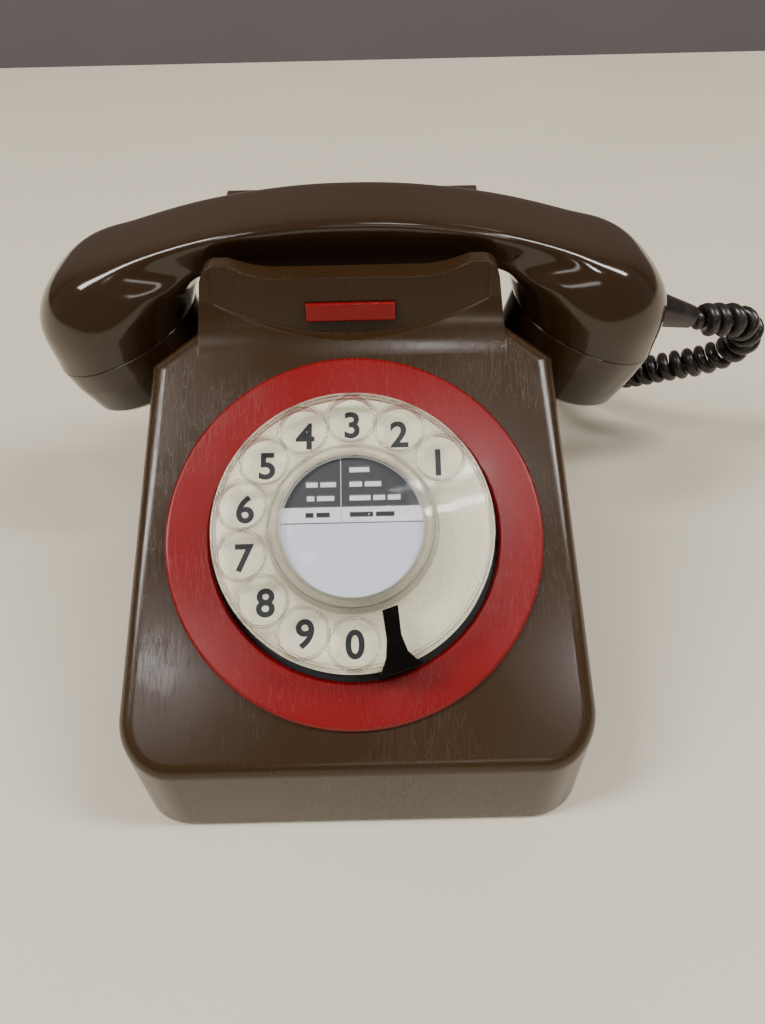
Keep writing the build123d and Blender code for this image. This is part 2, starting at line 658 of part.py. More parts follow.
with BuildPart() as gong_screws:
    with BuildSketch(Plane.XY.offset(GONG_TOP - 0.05)):
        with Locations((-BELL_X, BELL_Y), (BELL_X, BELL_Y)):
            Circle(3)
            Rectangle(4.2, 0.8, mode=Mode.SUBTRACT)
    extrude(amount=1.6)
    with BuildSketch(Plane.XY.offset(GONG_TOP - 14)):
        with Locations((-BELL_X, BELL_Y), (BELL_X, BELL_Y)):
            Circle(SCREW_R)
    extrude(amount=14.4)
save(gong_screws, "gong_screws")

with BuildPart() as ringer_core:
    for pole_x in (-COIL_X, COIL_X):
        with BuildSketch(Plane.XZ.offset(-COIL_BACK_Y + 3)):
            with Locations((pole_x, COIL_Z)):
                Circle(2.8)
        extrude(amount=-22)
    with BuildSketch(Plane.XZ.offset(-COIL_BACK_Y + 3)):
        with Locations((0, COIL_Z)):
            Rectangle(2 * COIL_X + 10, 12)
        with Locations((0, (COIL_Z + BASE_HIGH + 1.6) / 2)):
            Rectangle(12, COIL_Z - BASE_HIGH - 1.6)
    extrude(amount=-2)
save(ringer_core, "ringer_core")

with BuildPart() as ringer_coils:
    for coil_low, coil_r, length in ((0, 7.5, 1.2), (1.2, 6.6, 13), (14.2, 7.5, 1.2)):
        with BuildSketch(Plane.XZ.offset(-COIL_BACK_Y - coil_low)):
            with Locations((-COIL_X, COIL_Z), (COIL_X, COIL_Z)):
                Circle(coil_r)
                Circle(2.8, mode=Mode.SUBTRACT)
        extrude(amount=-length)
save(ringer_coils, "ringer_coils")

with BuildPart() as clapper:
    with BuildSketch(Plane.XY.offset(COIL_Z - 2)):
        with Locations((0, CLAPPER_PIVOT_Y)):
            Circle(3)
            Rectangle(2 * COIL_X + 6, 3)
            Circle(1.2 + RUNNING, mode=Mode.SUBTRACT)
    extrude(amount=5)
    with BuildSketch(Plane.XY.offset(COIL_Z - 1.1)):
        with Locations((0, (CLAPPER_PIVOT_Y + 2 + BELL_Y) / 2)):
            Rectangle(1.4, BELL_Y - CLAPPER_PIVOT_Y - 2)
    extrude(amount=1.4)
    with Locations((0, BELL_Y, COIL_Z - 0.4)):
        Sphere(3)
save(clapper, "clapper")


# ---------------------------------------------------------------- electrical parts
with BuildPart() as circuit_board:
    with BuildSketch(Plane.XY.offset(BASE_HIGH + 2)):
        with Locations((0, -50)):
            Rectangle(88, 56)
            with GridLocations(78, 46, 2, 2):
                Circle(1.6, mode=Mode.SUBTRACT)
    extrude(amount=1.6)
save(circuit_board, "circuit_board")

with BuildPart() as board_standoffs:
    with BuildSketch(Plane.XY.offset(BASE_HIGH)):
        with Locations((0, -50)):
            with GridLocations(78, 46, 2, 2):
                Circle(3)
    extrude(amount=2)
    with BuildSketch(Plane.XY.offset(BASE_HIGH + 2)):
        with Locations((0, -50)):
            with GridLocations(78, 46, 2, 2):
                Circle(1.5)
    extrude(amount=2.4)
save(board_standoffs, "board_standoffs")

BOARD_TOP = BASE_HIGH + 3.6
with BuildPart() as induction_coil:
    with BuildSketch(Plane.XY.offset(BOARD_TOP)):
        with Locations((-27, -58)):
            Rectangle(26, 20)
    extrude(amount=3)
    with BuildSketch(Plane.XY.offset(BOARD_TOP + 3)):
        with Locations((-27, -58)):
            RectangleRounded(20, 18, 3)
    extrude(amount=6)
    with BuildSketch(Plane.XY.offset(BOARD_TOP + 9)):
        with Locations((-27, -58)):
            Rectangle(26, 20)
    extrude(amount=2)
save(induction_coil, "induction_coil")

with BuildPart() as capacitor:
    with BuildSketch(Plane.YZ.offset(8)):
        with Locations((-64, BOARD_TOP + 5.5)):
            Circle(5.5)
    extrude(amount=28)
    fillet(capacitor.edges(), radius=0.8)
save(capacitor, "capacitor")

with BuildPart() as terminal_block:
    with BuildSketch(Plane.XY.offset(BASE_HIGH)):
        with Locations((30, 84.5)):
            Rectangle(36, 10)
    extrude(amount=8)
    with BuildSketch(Plane.XY.offset(BASE_HIGH + 8)):
        for wall_x in range(5):
            with Locations((12.6 + 8.7 * wall_x, 84.5)):
                Rectangle(1.2, 10)
    extrude(amount=3)
save(terminal_block, "terminal_block")

with BuildPart() as terminal_screws:
    with BuildSketch(Plane.XY.offset(BASE_HIGH + 8)):
        for screw_x in range(4):
            with Locations((16.95 + 8.7 * screw_x, 84.5)):
                Circle(2.4)
    extrude(amount=1.6)
save(terminal_screws, "terminal_screws")

for name, entry_x in (("handset_cord_grommet", HANDSET_ENTRY_X), ("line_cord_grommet", LINE_ENTRY_X)):
    with BuildPart() as grommet:
        with BuildSketch(Plane.XZ.offset(-REAR_Y + 4)):
            with Locations((entry_x, CORD_ENTRY_Z)):
                Circle(GROMMET_R)
                Circle(2.4, mode=Mode.SUBTRACT)
        extrude(amount=-4.5)
        with BuildSketch(Plane.XZ.offset(-REAR_Y - 0.1)):
            with Locations((entry_x, CORD_ENTRY_Z)):
                Circle(7)
                Circle(2.4, mode=Mode.SUBTRACT)
        extrude(amount=-1.9)
    save(grommet, name)


# ---------------------------------------------------------------- gravity switch
with BuildPart() as switch_bracket:
    with BuildSketch(Plane.XY.offset(80)):
        with Locations((0, 30)):
            Rectangle(78, 30)
        with Locations((-PLUNGER_X, HANDSET_Y), (PLUNGER_X, HANDSET_Y)):
            Circle(PLUNGER_R + RUNNING, mode=Mode.SUBTRACT)
        with Locations((0, 34)):
            Rectangle(24, 16, mode=Mode.SUBTRACT)
    extrude(amount=1.6)
    for leg_x in (-38.2, 38.2):
        with BuildSketch(Plane.XY.offset(BASE_HIGH)):
            with Locations((leg_x, 20)):
                Rectangle(1.6, 10)
        extrude(amount=80 - BASE_HIGH)
    # ears that hold the rocker's pin
    for ear_x in (-10.8, 9.6):
        with BuildSketch(Plane.YZ.offset(ear_x)):
            with Locations((ROCKER_Y, ROCKER_Z - 0.4)):
                Rectangle(6, 5.4)
            with Locations((ROCKER_Y, ROCKER_Z)):
                Circle(1 + RUNNING, mode=Mode.SUBTRACT)
        extrude(amount=1.2)
save(switch_bracket, "switch_bracket")

for name, plunger_x in (("plunger_left", -PLUNGER_X), ("plunger_right", PLUNGER_X)):
    with BuildPart() as plunger:
        with BuildSketch(Plane.XY.offset(76)):
            with Locations((plunger_x, HANDSET_Y)):
                Circle(PLUNGER_R)
        extrude(amount=KEEL_Z - GAP - 76)
        fillet(plunger.edges().group_by(Axis.Z)[-1], radius=2)
    save(plunger, name)

with BuildPart() as plunger_bar:
    with BuildSketch(Plane.XY.offset(BAR_Z)):
        with Locations((0, HANDSET_Y)):
            RectangleRounded(72, 9, 3)
        with Locations((-PLUNGER_X, HANDSET_Y), (PLUNGER_X, HANDSET_Y)):
            Circle(PLUNGER_R, mode=Mode.SUBTRACT)
    extrude(amount=2.4)
save(plunger_bar, "plunger_bar")

with BuildPart() as plunger_springs:
    with BuildSketch(Plane.XY.offset(81.6)):
        with Locations((-PLUNGER_X, HANDSET_Y), (PLUNGER_X, HANDSET_Y)):
            Circle(4.4)
            Circle(3.5, mode=Mode.SUBTRACT)
    extrude(amount=BAR_Z - 81.6)
save(plunger_springs, "plunger_springs")

with BuildPart() as switch_rocker:
    with BuildSketch(Plane.YZ.offset(-9)):
        with Locations((ROCKER_Y, ROCKER_Z)):
            Circle(2)
    extrude(amount=18)
    with BuildSketch(Plane.YZ.offset(-8)):
        Polygon((ROCKER_Y, ROCKER_Z), (ROCKER_Y, BAR_Z - GAP), (HANDSET_Y + 2.5, BAR_Z - GAP),
                (HANDSET_Y + 2.5, BAR_Z - GAP - 1.4), (ROCKER_Y + 3, BAR_Z - GAP - 1.4), align=None)
    extrude(amount=16)
    with BuildSketch(Plane.YZ.offset(-3)):
        with Locations((31, 82.3)):
            Rectangle(1.6, 9)
    extrude(amount=6)
    with BuildSketch(Plane.YZ.offset(-10)):
        with Locations((ROCKER_Y, ROCKER_Z)):
            Circle(1 + RUNNING)
    extrude(amount=20, mode=Mode.SUBTRACT)
save(switch_rocker, "switch_rocker")

with BuildPart() as rocker_pin:
    with BuildSketch(Plane.YZ.offset(-11.6)):
        with Locations((ROCKER_Y, ROCKER_Z)):
            Circle(1)
    extrude(amount=23.2)
save(rocker_pin, "rocker_pin")

with BuildPart() as hook_springs:
    with BuildSketch(Plane.XY.offset(63)):
        with Locations((0, 19)):
            Rectangle(14, 7)
    extrude(amount=17)
    for leaf_z in (66, 68.5, 71.5, 74, 76.4):
        with BuildSketch(Plane.XY.offset(leaf_z)):
            with Locations((0, 29)):
                Rectangle(6, 15)
        extrude(amount=0.4)
save(hook_springs, "hook_springs")


# ---------------------------------------------------------------- handset
# each station: inner and outer point of the handset's outline in x and z, half depth in y, and a
# squareness that runs from 0 at the round ends to 1 along the handle
STATIONS = [
    ((54.1, 92.6), (103.9, 74.4), 26.5, 0.0),
    ((52.4, 98.0), (104.9, 93.0), 26.6, 0.0),
    ((50.6, 103.4), (92.6, 108.6), 23.2, 0.15),
    ((46.5, 107.4), (73.0, 114.9), 19.0, 0.5),
    ((38.0, 108.9), (47.5, 121.2), 17.2, 0.85),
    ((20.0, KEEL_Z), (21.8, 125.0), 16.5, 1.0),
    ((0.0, KEEL_Z), (0.0, HANDSET_TOP), 16.4, 1.0),
]
STEPS = 3                      # sections from one station to the next
SECTION_POINTS = 24


def between(before, start, end, after, share):
    """Point of the smooth (Catmull-Rom) curve from start to end, at a share of the way."""
    return 0.5 * (2 * start + (end - before) * share
                  + (2 * before - 5 * start + 4 * end - after) * share ** 2
                  + (3 * start - before - 3 * end + after) * share ** 3)


def blended_stations():
    """The stations with smooth steps between them, as flat rows of numbers."""
    rows = [(*inner, *outer, depth, square) for inner, outer, depth, square in STATIONS]
    beyond_seam = tuple(2 * first - second for first, second in zip(rows[0], rows[1]))
    inner_x, inner_z, outer_x, *rest = rows[-2]
    beyond_middle = (-inner_x, inner_z, -outer_x, *rest)
    rows = [beyond_seam, *rows, beyond_middle]
    steps = []
    for four in zip(rows, rows[1:], rows[2:], rows[3:]):
        for step in range(STEPS):
            steps.append([between(*values, step / STEPS) for values in zip(*four)])
    return steps + [rows[-2]]


def signed_power(value, power):
    """The value's size raised to a power, with the value's own sign."""
    return abs(value) ** power * (1 if value >= 0 else -1)


def handset_section(inner_x, inner_z, outer_x, outer_z, half_depth, square, inset):
    """One closed section across the handset, between round and a rounded trapezium."""
    middle = Vector((inner_x + outer_x) / 2, HANDSET_Y, (inner_z + outer_z) / 2)
    up = Vector(outer_x - inner_x, 0, outer_z - inner_z)
    square = min(1, max(0, square))
    power = 2 / (2 + 3 * square)
    points = []
    for corner in range(SECTION_POINTS):
        turn = 2 * pi * corner / SECTION_POINTS
        rise = signed_power(cos(turn), power)
        narrowing = 1 - 0.12 * square * (1 - rise)
        points.append(((up.length / 2 - inset) * rise,
                       (half_depth - inset) * signed_power(sin(turn), power) * narrowing))
    plane = Plane(origin=middle, x_dir=up.normalized(), z_dir=up.cross(Vector(0, 1, 0)).normalized())
    with BuildSketch(plane) as section:
        with BuildLine():
            Spline(*points, periodic=True)
        make_face()
    return section.sketch


def handset_form(inset):
    """Handset from cap seam to cap seam, lofted from each section to the next."""
    sections = [handset_section(*station, inset) for station in blended_stations()]
    with BuildPart() as form:
        for near, far in zip(sections, sections[1:]):
            loft([near, far], ruled=True)
        mirror(about=Plane.YZ)
    return form.part


def cap_plane(side):
    """Plane of the seam between a bulb and its cap, its normal pointing out of the cap."""
    tilt = radians(BULB_TILT)
    return Plane(origin=(side * BULB_X, HANDSET_Y, BULB_Z), x_dir=(0, 1, 0),
                 z_dir=(-side * sin(tilt), 0, -cos(tilt)))


def turned_on_cap(side, points):
    """Revolve (radius, depth) points about a cap's axis."""
    seam = cap_plane(side)
    with BuildPart() as turned:
        with BuildSketch(Plane(origin=seam.origin, x_dir=seam.x_dir, z_dir=-seam.y_dir)):
            Polygon(*points, align=None)
        revolve(axis=Axis(seam.origin, seam.z_dir))
    return turned.part


def along(start, end):
    """Plane at a start point whose normal points to the end point, and the distance between them."""
    run = Vector(*end) - Vector(*start)
    return Plane(origin=start, z_dir=run.normalized()), run.length


RELIEF_START = (99.5, 49.4, 81.9)
RELIEF_NECK_R, RELIEF_R, RELIEF_TIP_R = 4.1, 7.0, 4.2
RELIEF_SEAT = 5.0              # from the relief's start to its shoulder outside the shell
with BuildPart() as handset_shell:
    add(handset_form(0))
    add(handset_form(HANDSET_WALL), mode=Mode.SUBTRACT)
    relief_plane, relief_length = along(RELIEF_START, CORD_ROUTE[0])
    with BuildSketch(relief_plane.offset(-6)):
        Circle(RELIEF_NECK_R + 0.1)
    extrude(amount=20, mode=Mode.SUBTRACT)
    with BuildSketch(relief_plane.offset(RELIEF_SEAT - 0.1)):
        Circle(RELIEF_R + 0.1)
    extrude(amount=12, mode=Mode.SUBTRACT)
save(handset_shell, "handset_shell")

for name, side, depth in (("ear_cap", -1, EAR_CAP_DEPTH), ("mouth_cap", 1, MOUTH_CAP_DEPTH)):
    with BuildPart() as cap:
        add(turned_on_cap(side, [(21.8, -1), (BULB_R - HANDSET_WALL - 0.6, -1),
                                 (BULB_R - HANDSET_WALL - 0.6, 0.2), (BULB_R, 0.2), (BULB_R - 0.6, 8),
                                 (BULB_R - 1.5, depth - 7), (BULB_R - 2.5, depth - 2),
                                 (BULB_R - 4, depth - 0.6), (BULB_R - 6.5, depth), (11, depth - 0.9),
                                 (0, depth - 1.3), (0, depth - 3.4), (21.8, depth - 3.4)]))
        with BuildSketch(cap_plane(side).offset(depth - 5)):
            with PolarLocations(5, 6):
                Circle(1.1)
            with PolarLocations(10, 12 if side > 0 else 6):
                Circle(1.1)
            Circle(1.1)
        extrude(amount=7, mode=Mode.SUBTRACT)
    save(cap, name)

for name, side, rear_r, depth in (("receiver_capsule", -1, 15, EAR_CAP_DEPTH),
                                  ("transmitter_capsule", 1, 18, MOUTH_CAP_DEPTH)):
    with BuildPart() as capsule:
        add(turned_on_cap(side, [(0, -4), (rear_r, -4), (rear_r, 1), (21.6, 1), (21.6, depth - 4),
                                 (19, depth - 3.5), (0, depth - 3.5)]))
        with BuildSketch(cap_plane(side).offset(depth - 5.6)):
            with PolarLocations(8, 8):
                Circle(0.9)
        extrude(amount=3, mode=Mode.SUBTRACT)
    save(capsule, name)

with BuildPart() as handset_relief:
    with BuildSketch(relief_plane):
        Circle(RELIEF_NECK_R)
    extrude(amount=RELIEF_SEAT)
    with BuildSketch(relief_plane.offset(RELIEF_SEAT)):
        Circle(RELIEF_R)
    with BuildSketch(relief_plane.offset(relief_length)):
        Circle(RELIEF_TIP_R)
    loft()
    with BuildSketch(relief_plane.offset(-1)):
        Circle(WIRE_R)
    extrude(amount=relief_length + 2, mode=Mode.SUBTRACT)
save(handset_relief, "handset_relief")


# ---------------------------------------------------------------- handset cord
def corner_radii(route):
    """Largest arc that each corner of a route has room for."""
    radii = []
    for before, corner, after in zip(route, route[1:], route[2:]):
        into = Vector(*corner) - Vector(*before)
        out = Vector(*after) - Vector(*corner)
        half_turn = radians(into.get_angle(out)) / 2
        radii.append(0.45 * min(into.length, out.length) / tan(half_turn))
    return radii


cord_radii = corner_radii(CORD_ROUTE)
print("cord corner radii", [round(radius, 1) for radius in cord_radii])
with BuildPart() as handset_cord:
    with BuildLine() as cord_path:
        FilletPolyline(*CORD_ROUTE, radius=cord_radii)
    with BuildSketch(Plane(origin=cord_path.line @ 0, z_dir=cord_path.line % 0)):
        Circle(CORD_R)
    sweep(path=cord_path.line)
save(handset_cord, "handset_cord")
cord_length = sum(edge.length for edge in cord_path.edges())
print("cord tube", round(cord_length, 1), "mm, volume over section times length",
      round(handset_cord.part.volume / (pi * CORD_R ** 2 * cord_length), 3))
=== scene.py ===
"""Looks of a rotary desk telephone: finishes, digits, handset, curly cord and a small studio.

Everything is in metres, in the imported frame: +Z up, the dial faces -Y and the caller.
"""
from __future__ import annotations

import json
import logging
import math
from collections.abc import Iterable
from dataclasses import dataclass
from enum import Enum

import bmesh
import bpy
from mathutils import Matrix, Vector

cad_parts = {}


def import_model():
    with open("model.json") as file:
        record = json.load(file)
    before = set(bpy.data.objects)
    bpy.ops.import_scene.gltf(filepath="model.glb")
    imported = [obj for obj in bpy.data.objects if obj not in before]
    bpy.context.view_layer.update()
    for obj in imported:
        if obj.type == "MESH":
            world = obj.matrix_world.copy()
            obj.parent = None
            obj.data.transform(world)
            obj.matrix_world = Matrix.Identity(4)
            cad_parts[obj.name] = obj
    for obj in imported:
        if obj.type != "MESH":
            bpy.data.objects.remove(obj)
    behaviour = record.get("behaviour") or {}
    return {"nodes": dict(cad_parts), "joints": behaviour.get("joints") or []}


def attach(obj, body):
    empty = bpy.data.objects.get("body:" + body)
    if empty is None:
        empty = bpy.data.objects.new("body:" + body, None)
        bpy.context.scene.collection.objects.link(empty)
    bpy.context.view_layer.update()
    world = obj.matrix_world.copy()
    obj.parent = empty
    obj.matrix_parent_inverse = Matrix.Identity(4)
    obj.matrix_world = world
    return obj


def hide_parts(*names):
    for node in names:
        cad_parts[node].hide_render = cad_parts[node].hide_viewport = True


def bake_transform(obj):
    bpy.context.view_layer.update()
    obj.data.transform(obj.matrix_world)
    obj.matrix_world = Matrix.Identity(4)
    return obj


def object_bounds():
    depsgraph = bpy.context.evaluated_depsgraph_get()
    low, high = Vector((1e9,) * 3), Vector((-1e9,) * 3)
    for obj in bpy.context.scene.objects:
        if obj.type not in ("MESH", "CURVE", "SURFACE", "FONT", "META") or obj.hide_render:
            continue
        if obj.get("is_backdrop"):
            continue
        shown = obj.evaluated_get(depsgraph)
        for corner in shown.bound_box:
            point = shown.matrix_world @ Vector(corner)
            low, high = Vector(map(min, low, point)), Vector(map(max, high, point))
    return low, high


log = logging.getLogger("telephone")

MM = 0.001
Colour = tuple[float, float, float]
Point = tuple[float, float, float]
Spot = tuple[float, float]
Socket = bpy.types.NodeSocket


# ---------------------------------------------------------------- mesh and node helpers
class NodeBench:
    """One material and the shader nodes that are put into it."""

    def __init__(self, name: str) -> None:
        """Starts an empty material.

        Args:
            name: the material's name.
        """
        self.material = bpy.data.materials.new(name)
        self.material.use_nodes = True
        self.tree = self.material.node_tree
        self.shader = self.tree.nodes["Principled BSDF"]
        self.place = self.add("ShaderNodeTexCoord", {}).outputs["Object"]

    def add(self, kind: str, inputs: dict[str | int, object], **settings: object) -> bpy.types.Node:
        """Adds a node, sets its options and fills or joins its inputs.

        Args:
            kind: the node's class name.
            inputs: input name or number to a value, or to the output that feeds it.
            settings: options of the node itself.

        Returns:
            The new node.
        """
        node = self.tree.nodes.new(kind)
        for name, value in settings.items():
            setattr(node, name, value)
        for key, value in inputs.items():
            if isinstance(value, Socket):
                self.tree.links.new(value, node.inputs[key])
            else:
                node.inputs[key].default_value = value
        return node

    def feed(self, values: dict[str, object]) -> None:
        """Sets or joins inputs of the material's shader.

        Args:
            values: input name to a value, or to the output that feeds it.
        """
        for key, value in values.items():
            if isinstance(value, Socket):
                self.tree.links.new(value, self.shader.inputs[key])
            else:
                self.shader.inputs[key].default_value = value

    def noise(self, scale: float, detail: float = 3.0) -> Socket:
        """Noise over the object's own coordinates.

        Args:
            scale: lumps to the metre.
            detail: how many finer layers the noise has.

        Returns:
            The noise value.
        """
        made = self.add("ShaderNodeTexNoise", {"Vector": self.place, "Scale": scale, "Detail": detail})
        return made.outputs["Fac"]

    def ranged(self, value: Socket, start: float, end: float, low: float, high: float) -> Socket:
        """Maps a value from start..end to low..high.

        Args:
            value: what is mapped.
            start: value that gives low.
            end: value that gives high.
            low: result at start.
            high: result at end.

        Returns:
            The mapped value.
        """
        made = self.add("ShaderNodeMapRange", {"Value": value, "From Min": start, "From Max": end,
                                               "To Min": low, "To Max": high})
        return made.outputs["Result"]

    def mixed(self, share: Socket, first: Colour, second: Colour) -> Socket:
        """Blend of two colours.

        Args:
            share: 0 for the first colour, 1 for the second.
            first: one colour.
            second: the other colour.

        Returns:
            The blended colour.
        """
        made = self.add("ShaderNodeMix", {0: share, 6: (*first, 1), 7: (*second, 1)}, data_type="RGBA")
        return made.outputs[2]

    def scratches(self, turn: float, scale: float, width: float) -> Socket:
        """Hairline scratches that run mostly one way.

        Args:
            turn: direction of the scratches, in radians.
            scale: how closely they lie.
            width: how wide each one is, as a share of the noise's range.

        Returns:
            1 on a scratch and 0 beside it.
        """
        laid = self.add("ShaderNodeMapping", {"Vector": self.place, "Rotation": (0.4, 0.2, turn),
                                              "Scale": (scale, scale * 0.035, scale * 0.2)})
        lines = self.add("ShaderNodeTexNoise", {"Vector": laid.outputs["Vector"], "Scale": 1.0,
                                                "Detail": 2.0, "Roughness": 0.4})
        off = self.add("ShaderNodeMath", {0: lines.outputs["Fac"], 1: 0.5}, operation="SUBTRACT")
        size = self.add("ShaderNodeMath", {0: off.outputs[0]}, operation="ABSOLUTE")
        return self.ranged(size.outputs[0], 0.0, width, 1.0, 0.0)

    def larger(self, first: Socket, second: Socket) -> Socket:
        """The larger of two values."""
        return self.add("ShaderNodeMath", {0: first, 1: second}, operation="MAXIMUM").outputs[0]

    def product(self, first: Socket, second: Socket | float) -> Socket:
        """One value times another."""
        return self.add("ShaderNodeMath", {0: first, 1: second}, operation="MULTIPLY").outputs[0]

    def relief(self, height: Socket, depth: float, rounding: float) -> None:
        """Joins a bump to the shader, over edges that catch the light as rounded ones do.

        Args:
            height: the bump's height, from 0 to 1.
            depth: its depth in metres.
            rounding: radius of the edges' rounding in metres, or 0 for none.
        """
        inputs: dict[str | int, object] = {"Height": height, "Distance": depth, "Strength": 1.0}
        if rounding:
            inputs["Normal"] = self.add("ShaderNodeBevel", {"Radius": rounding}, samples=6).outputs[0]
        self.feed({"Normal": self.add("ShaderNodeBump", inputs).outputs["Normal"]})


def mesh_piece(name: str, made: bmesh.types.BMesh, body: str) -> bpy.types.Object:
    """Turns finished mesh data into a piece that rides on a body.

    Args:
        name: the piece's name.
        made: its mesh data, which is freed.
        body: the body that it rides on.

    Returns:
        The new object.
    """
    bmesh.ops.recalc_face_normals(made, faces=made.faces)
    mesh = bpy.data.meshes.new(name)
    made.to_mesh(mesh)
    made.free()
    piece = bpy.data.objects.new(name, mesh)
    bpy.context.scene.collection.objects.link(piece)
    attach(piece, body)
    return piece


def soften(piece: bpy.types.Object, sharpest: float = 32.0) -> None:
    """Shades a piece smooth, apart from edges sharper than an angle in degrees."""
    piece.data.shade_smooth()
    piece.data.set_sharp_from_angle(angle=math.radians(sharpest))


def dress(piece: bpy.types.Object, material: bpy.types.Material) -> None:
    """Gives every slot of a piece one material.

    Args:
        piece: the piece.
        material: its new material.
    """
    if not piece.material_slots:
        piece.data.materials.append(material)
    for slot in piece.material_slots:
        slot.material = material


# ---------------------------------------------------------------- finishes
@dataclass(frozen=True)
class MouldedPlastic:
    """Moulded plastic with uneven colour, dull patches and hairline scratches."""

    name: str
    colour: Colour
    faded: Colour
    roughness: float
    wear: float = 0.0
    shine: float = 0.5
    rounding: float = 0.7 * MM

    def material(self) -> bpy.types.Material:
        """Makes the finish's material."""
        bench = NodeBench(self.name)
        patches = bench.ranged(bench.noise(14, 4), 0.35, 0.7, 0, 1)
        bench.feed({"Base Color": bench.mixed(patches, self.colour, self.faded), "IOR": 1.53,
                    "Specular IOR Level": self.shine, "Coat Weight": 0.03, "Coat Roughness": 0.05})
        grain = bench.noise(2600, 2)
        dull = bench.ranged(bench.noise(38, 5), 0.3, 0.75, self.roughness * 0.8, self.roughness * 1.25)
        if self.wear:
            along = bench.scratches(0.5, 520, 0.012)
            across = bench.scratches(2.0, 410, 0.009)
            fine = bench.scratches(1.2, 900, 0.016)
            lines = bench.larger(bench.larger(along, across), fine)
            lines = bench.product(lines, bench.ranged(bench.noise(30, 2), 0.4, 0.62, 0, self.wear))
            duller, fainter = bench.product(lines, 0.3), bench.product(grain, 0.25)
            dull = bench.add("ShaderNodeMath", {0: dull, 1: duller}, operation="ADD").outputs[0]
            grain = bench.add("ShaderNodeMath", {0: fainter, 1: lines}, operation="SUBTRACT").outputs[0]
        bench.feed({"Roughness": dull})
        bench.relief(grain, 0.012 * MM, self.rounding)
        return bench.material


@dataclass(frozen=True)
class ClearPlastic:
    """Clear moulded plastic, seen through where it faces the eye and glassy at its edges."""

    name: str
    tint: Colour = (0.95, 0.96, 0.95)
    face: float = 0.16
    edge: float = 0.95
    roughness: float = 0.03

    def material(self) -> bpy.types.Material:
        """Makes the finish's material."""
        bench = NodeBench(self.name)
        smears = bench.ranged(bench.noise(90, 4), 0.4, 0.8, self.roughness * 0.6, self.roughness * 4)
        slant = bench.add("ShaderNodeLayerWeight", {"Blend": 0.5}).outputs["Facing"]
        bench.feed({"Base Color": (*self.tint, 1), "Transmission Weight": 1.0, "IOR": 1.49,
                    "Roughness": smears, "Alpha": bench.ranged(slant, 0.25, 0.85, self.face, self.edge)})
        return bench.material


@dataclass(frozen=True)
class SpeckledPlastic:
    """Pale plastic with fine dark and light specks."""

    name: str
    colour: Colour
    speck: Colour
    roughness: float = 0.4

    def material(self) -> bpy.types.Material:
        """Makes the finish's material."""
        bench = NodeBench(self.name)
        specks = bench.ranged(bench.noise(2200, 2), 0.5, 0.72, 0, 1)
        bench.feed({"Base Color": bench.mixed(specks, self.colour, self.speck), "Roughness": self.roughness})
        bench.relief(bench.noise(1500, 2), 0.01 * MM, 0.3 * MM)
        return bench.material


@dataclass(frozen=True)
class Metal:
    """Bare or plated metal with a brushed or cast grain."""

    name: str
    colour: Colour
    roughness: float
    grain: float = 400.0

    def material(self) -> bpy.types.Material:
        """Makes the finish's material."""
        bench = NodeBench(self.name)
        marks = bench.noise(self.grain, 4)
        darker = tuple(0.82 * part for part in self.colour)
        bench.feed({"Base Color": bench.mixed(marks, self.colour, darker), "Metallic": 1.0,
                    "Roughness": bench.ranged(marks, 0.3, 0.7, self.roughness * 0.7, self.roughness * 1.3)})
        bench.relief(marks, 0.01 * MM, 0.3 * MM)
        return bench.material


@dataclass(frozen=True)
class Rubber:
    """Flexible rubber or vinyl with a fine matt grain."""

    name: str
    colour: Colour
    roughness: float

    def material(self) -> bpy.types.Material:
        """Makes the finish's material."""
        bench = NodeBench(self.name)
        paler = tuple(1.5 * part + 0.004 for part in self.colour)
        dust = bench.ranged(bench.noise(120, 5), 0.45, 0.8, 0, 1)
        bench.feed({"Base Color": bench.mixed(dust, self.colour, paler),
                    "Roughness": bench.ranged(dust, 0, 1, self.roughness * 0.85, self.roughness * 1.3)})
        bench.relief(bench.noise(1800, 3), 0.02 * MM, 0.3 * MM)
        return bench.material


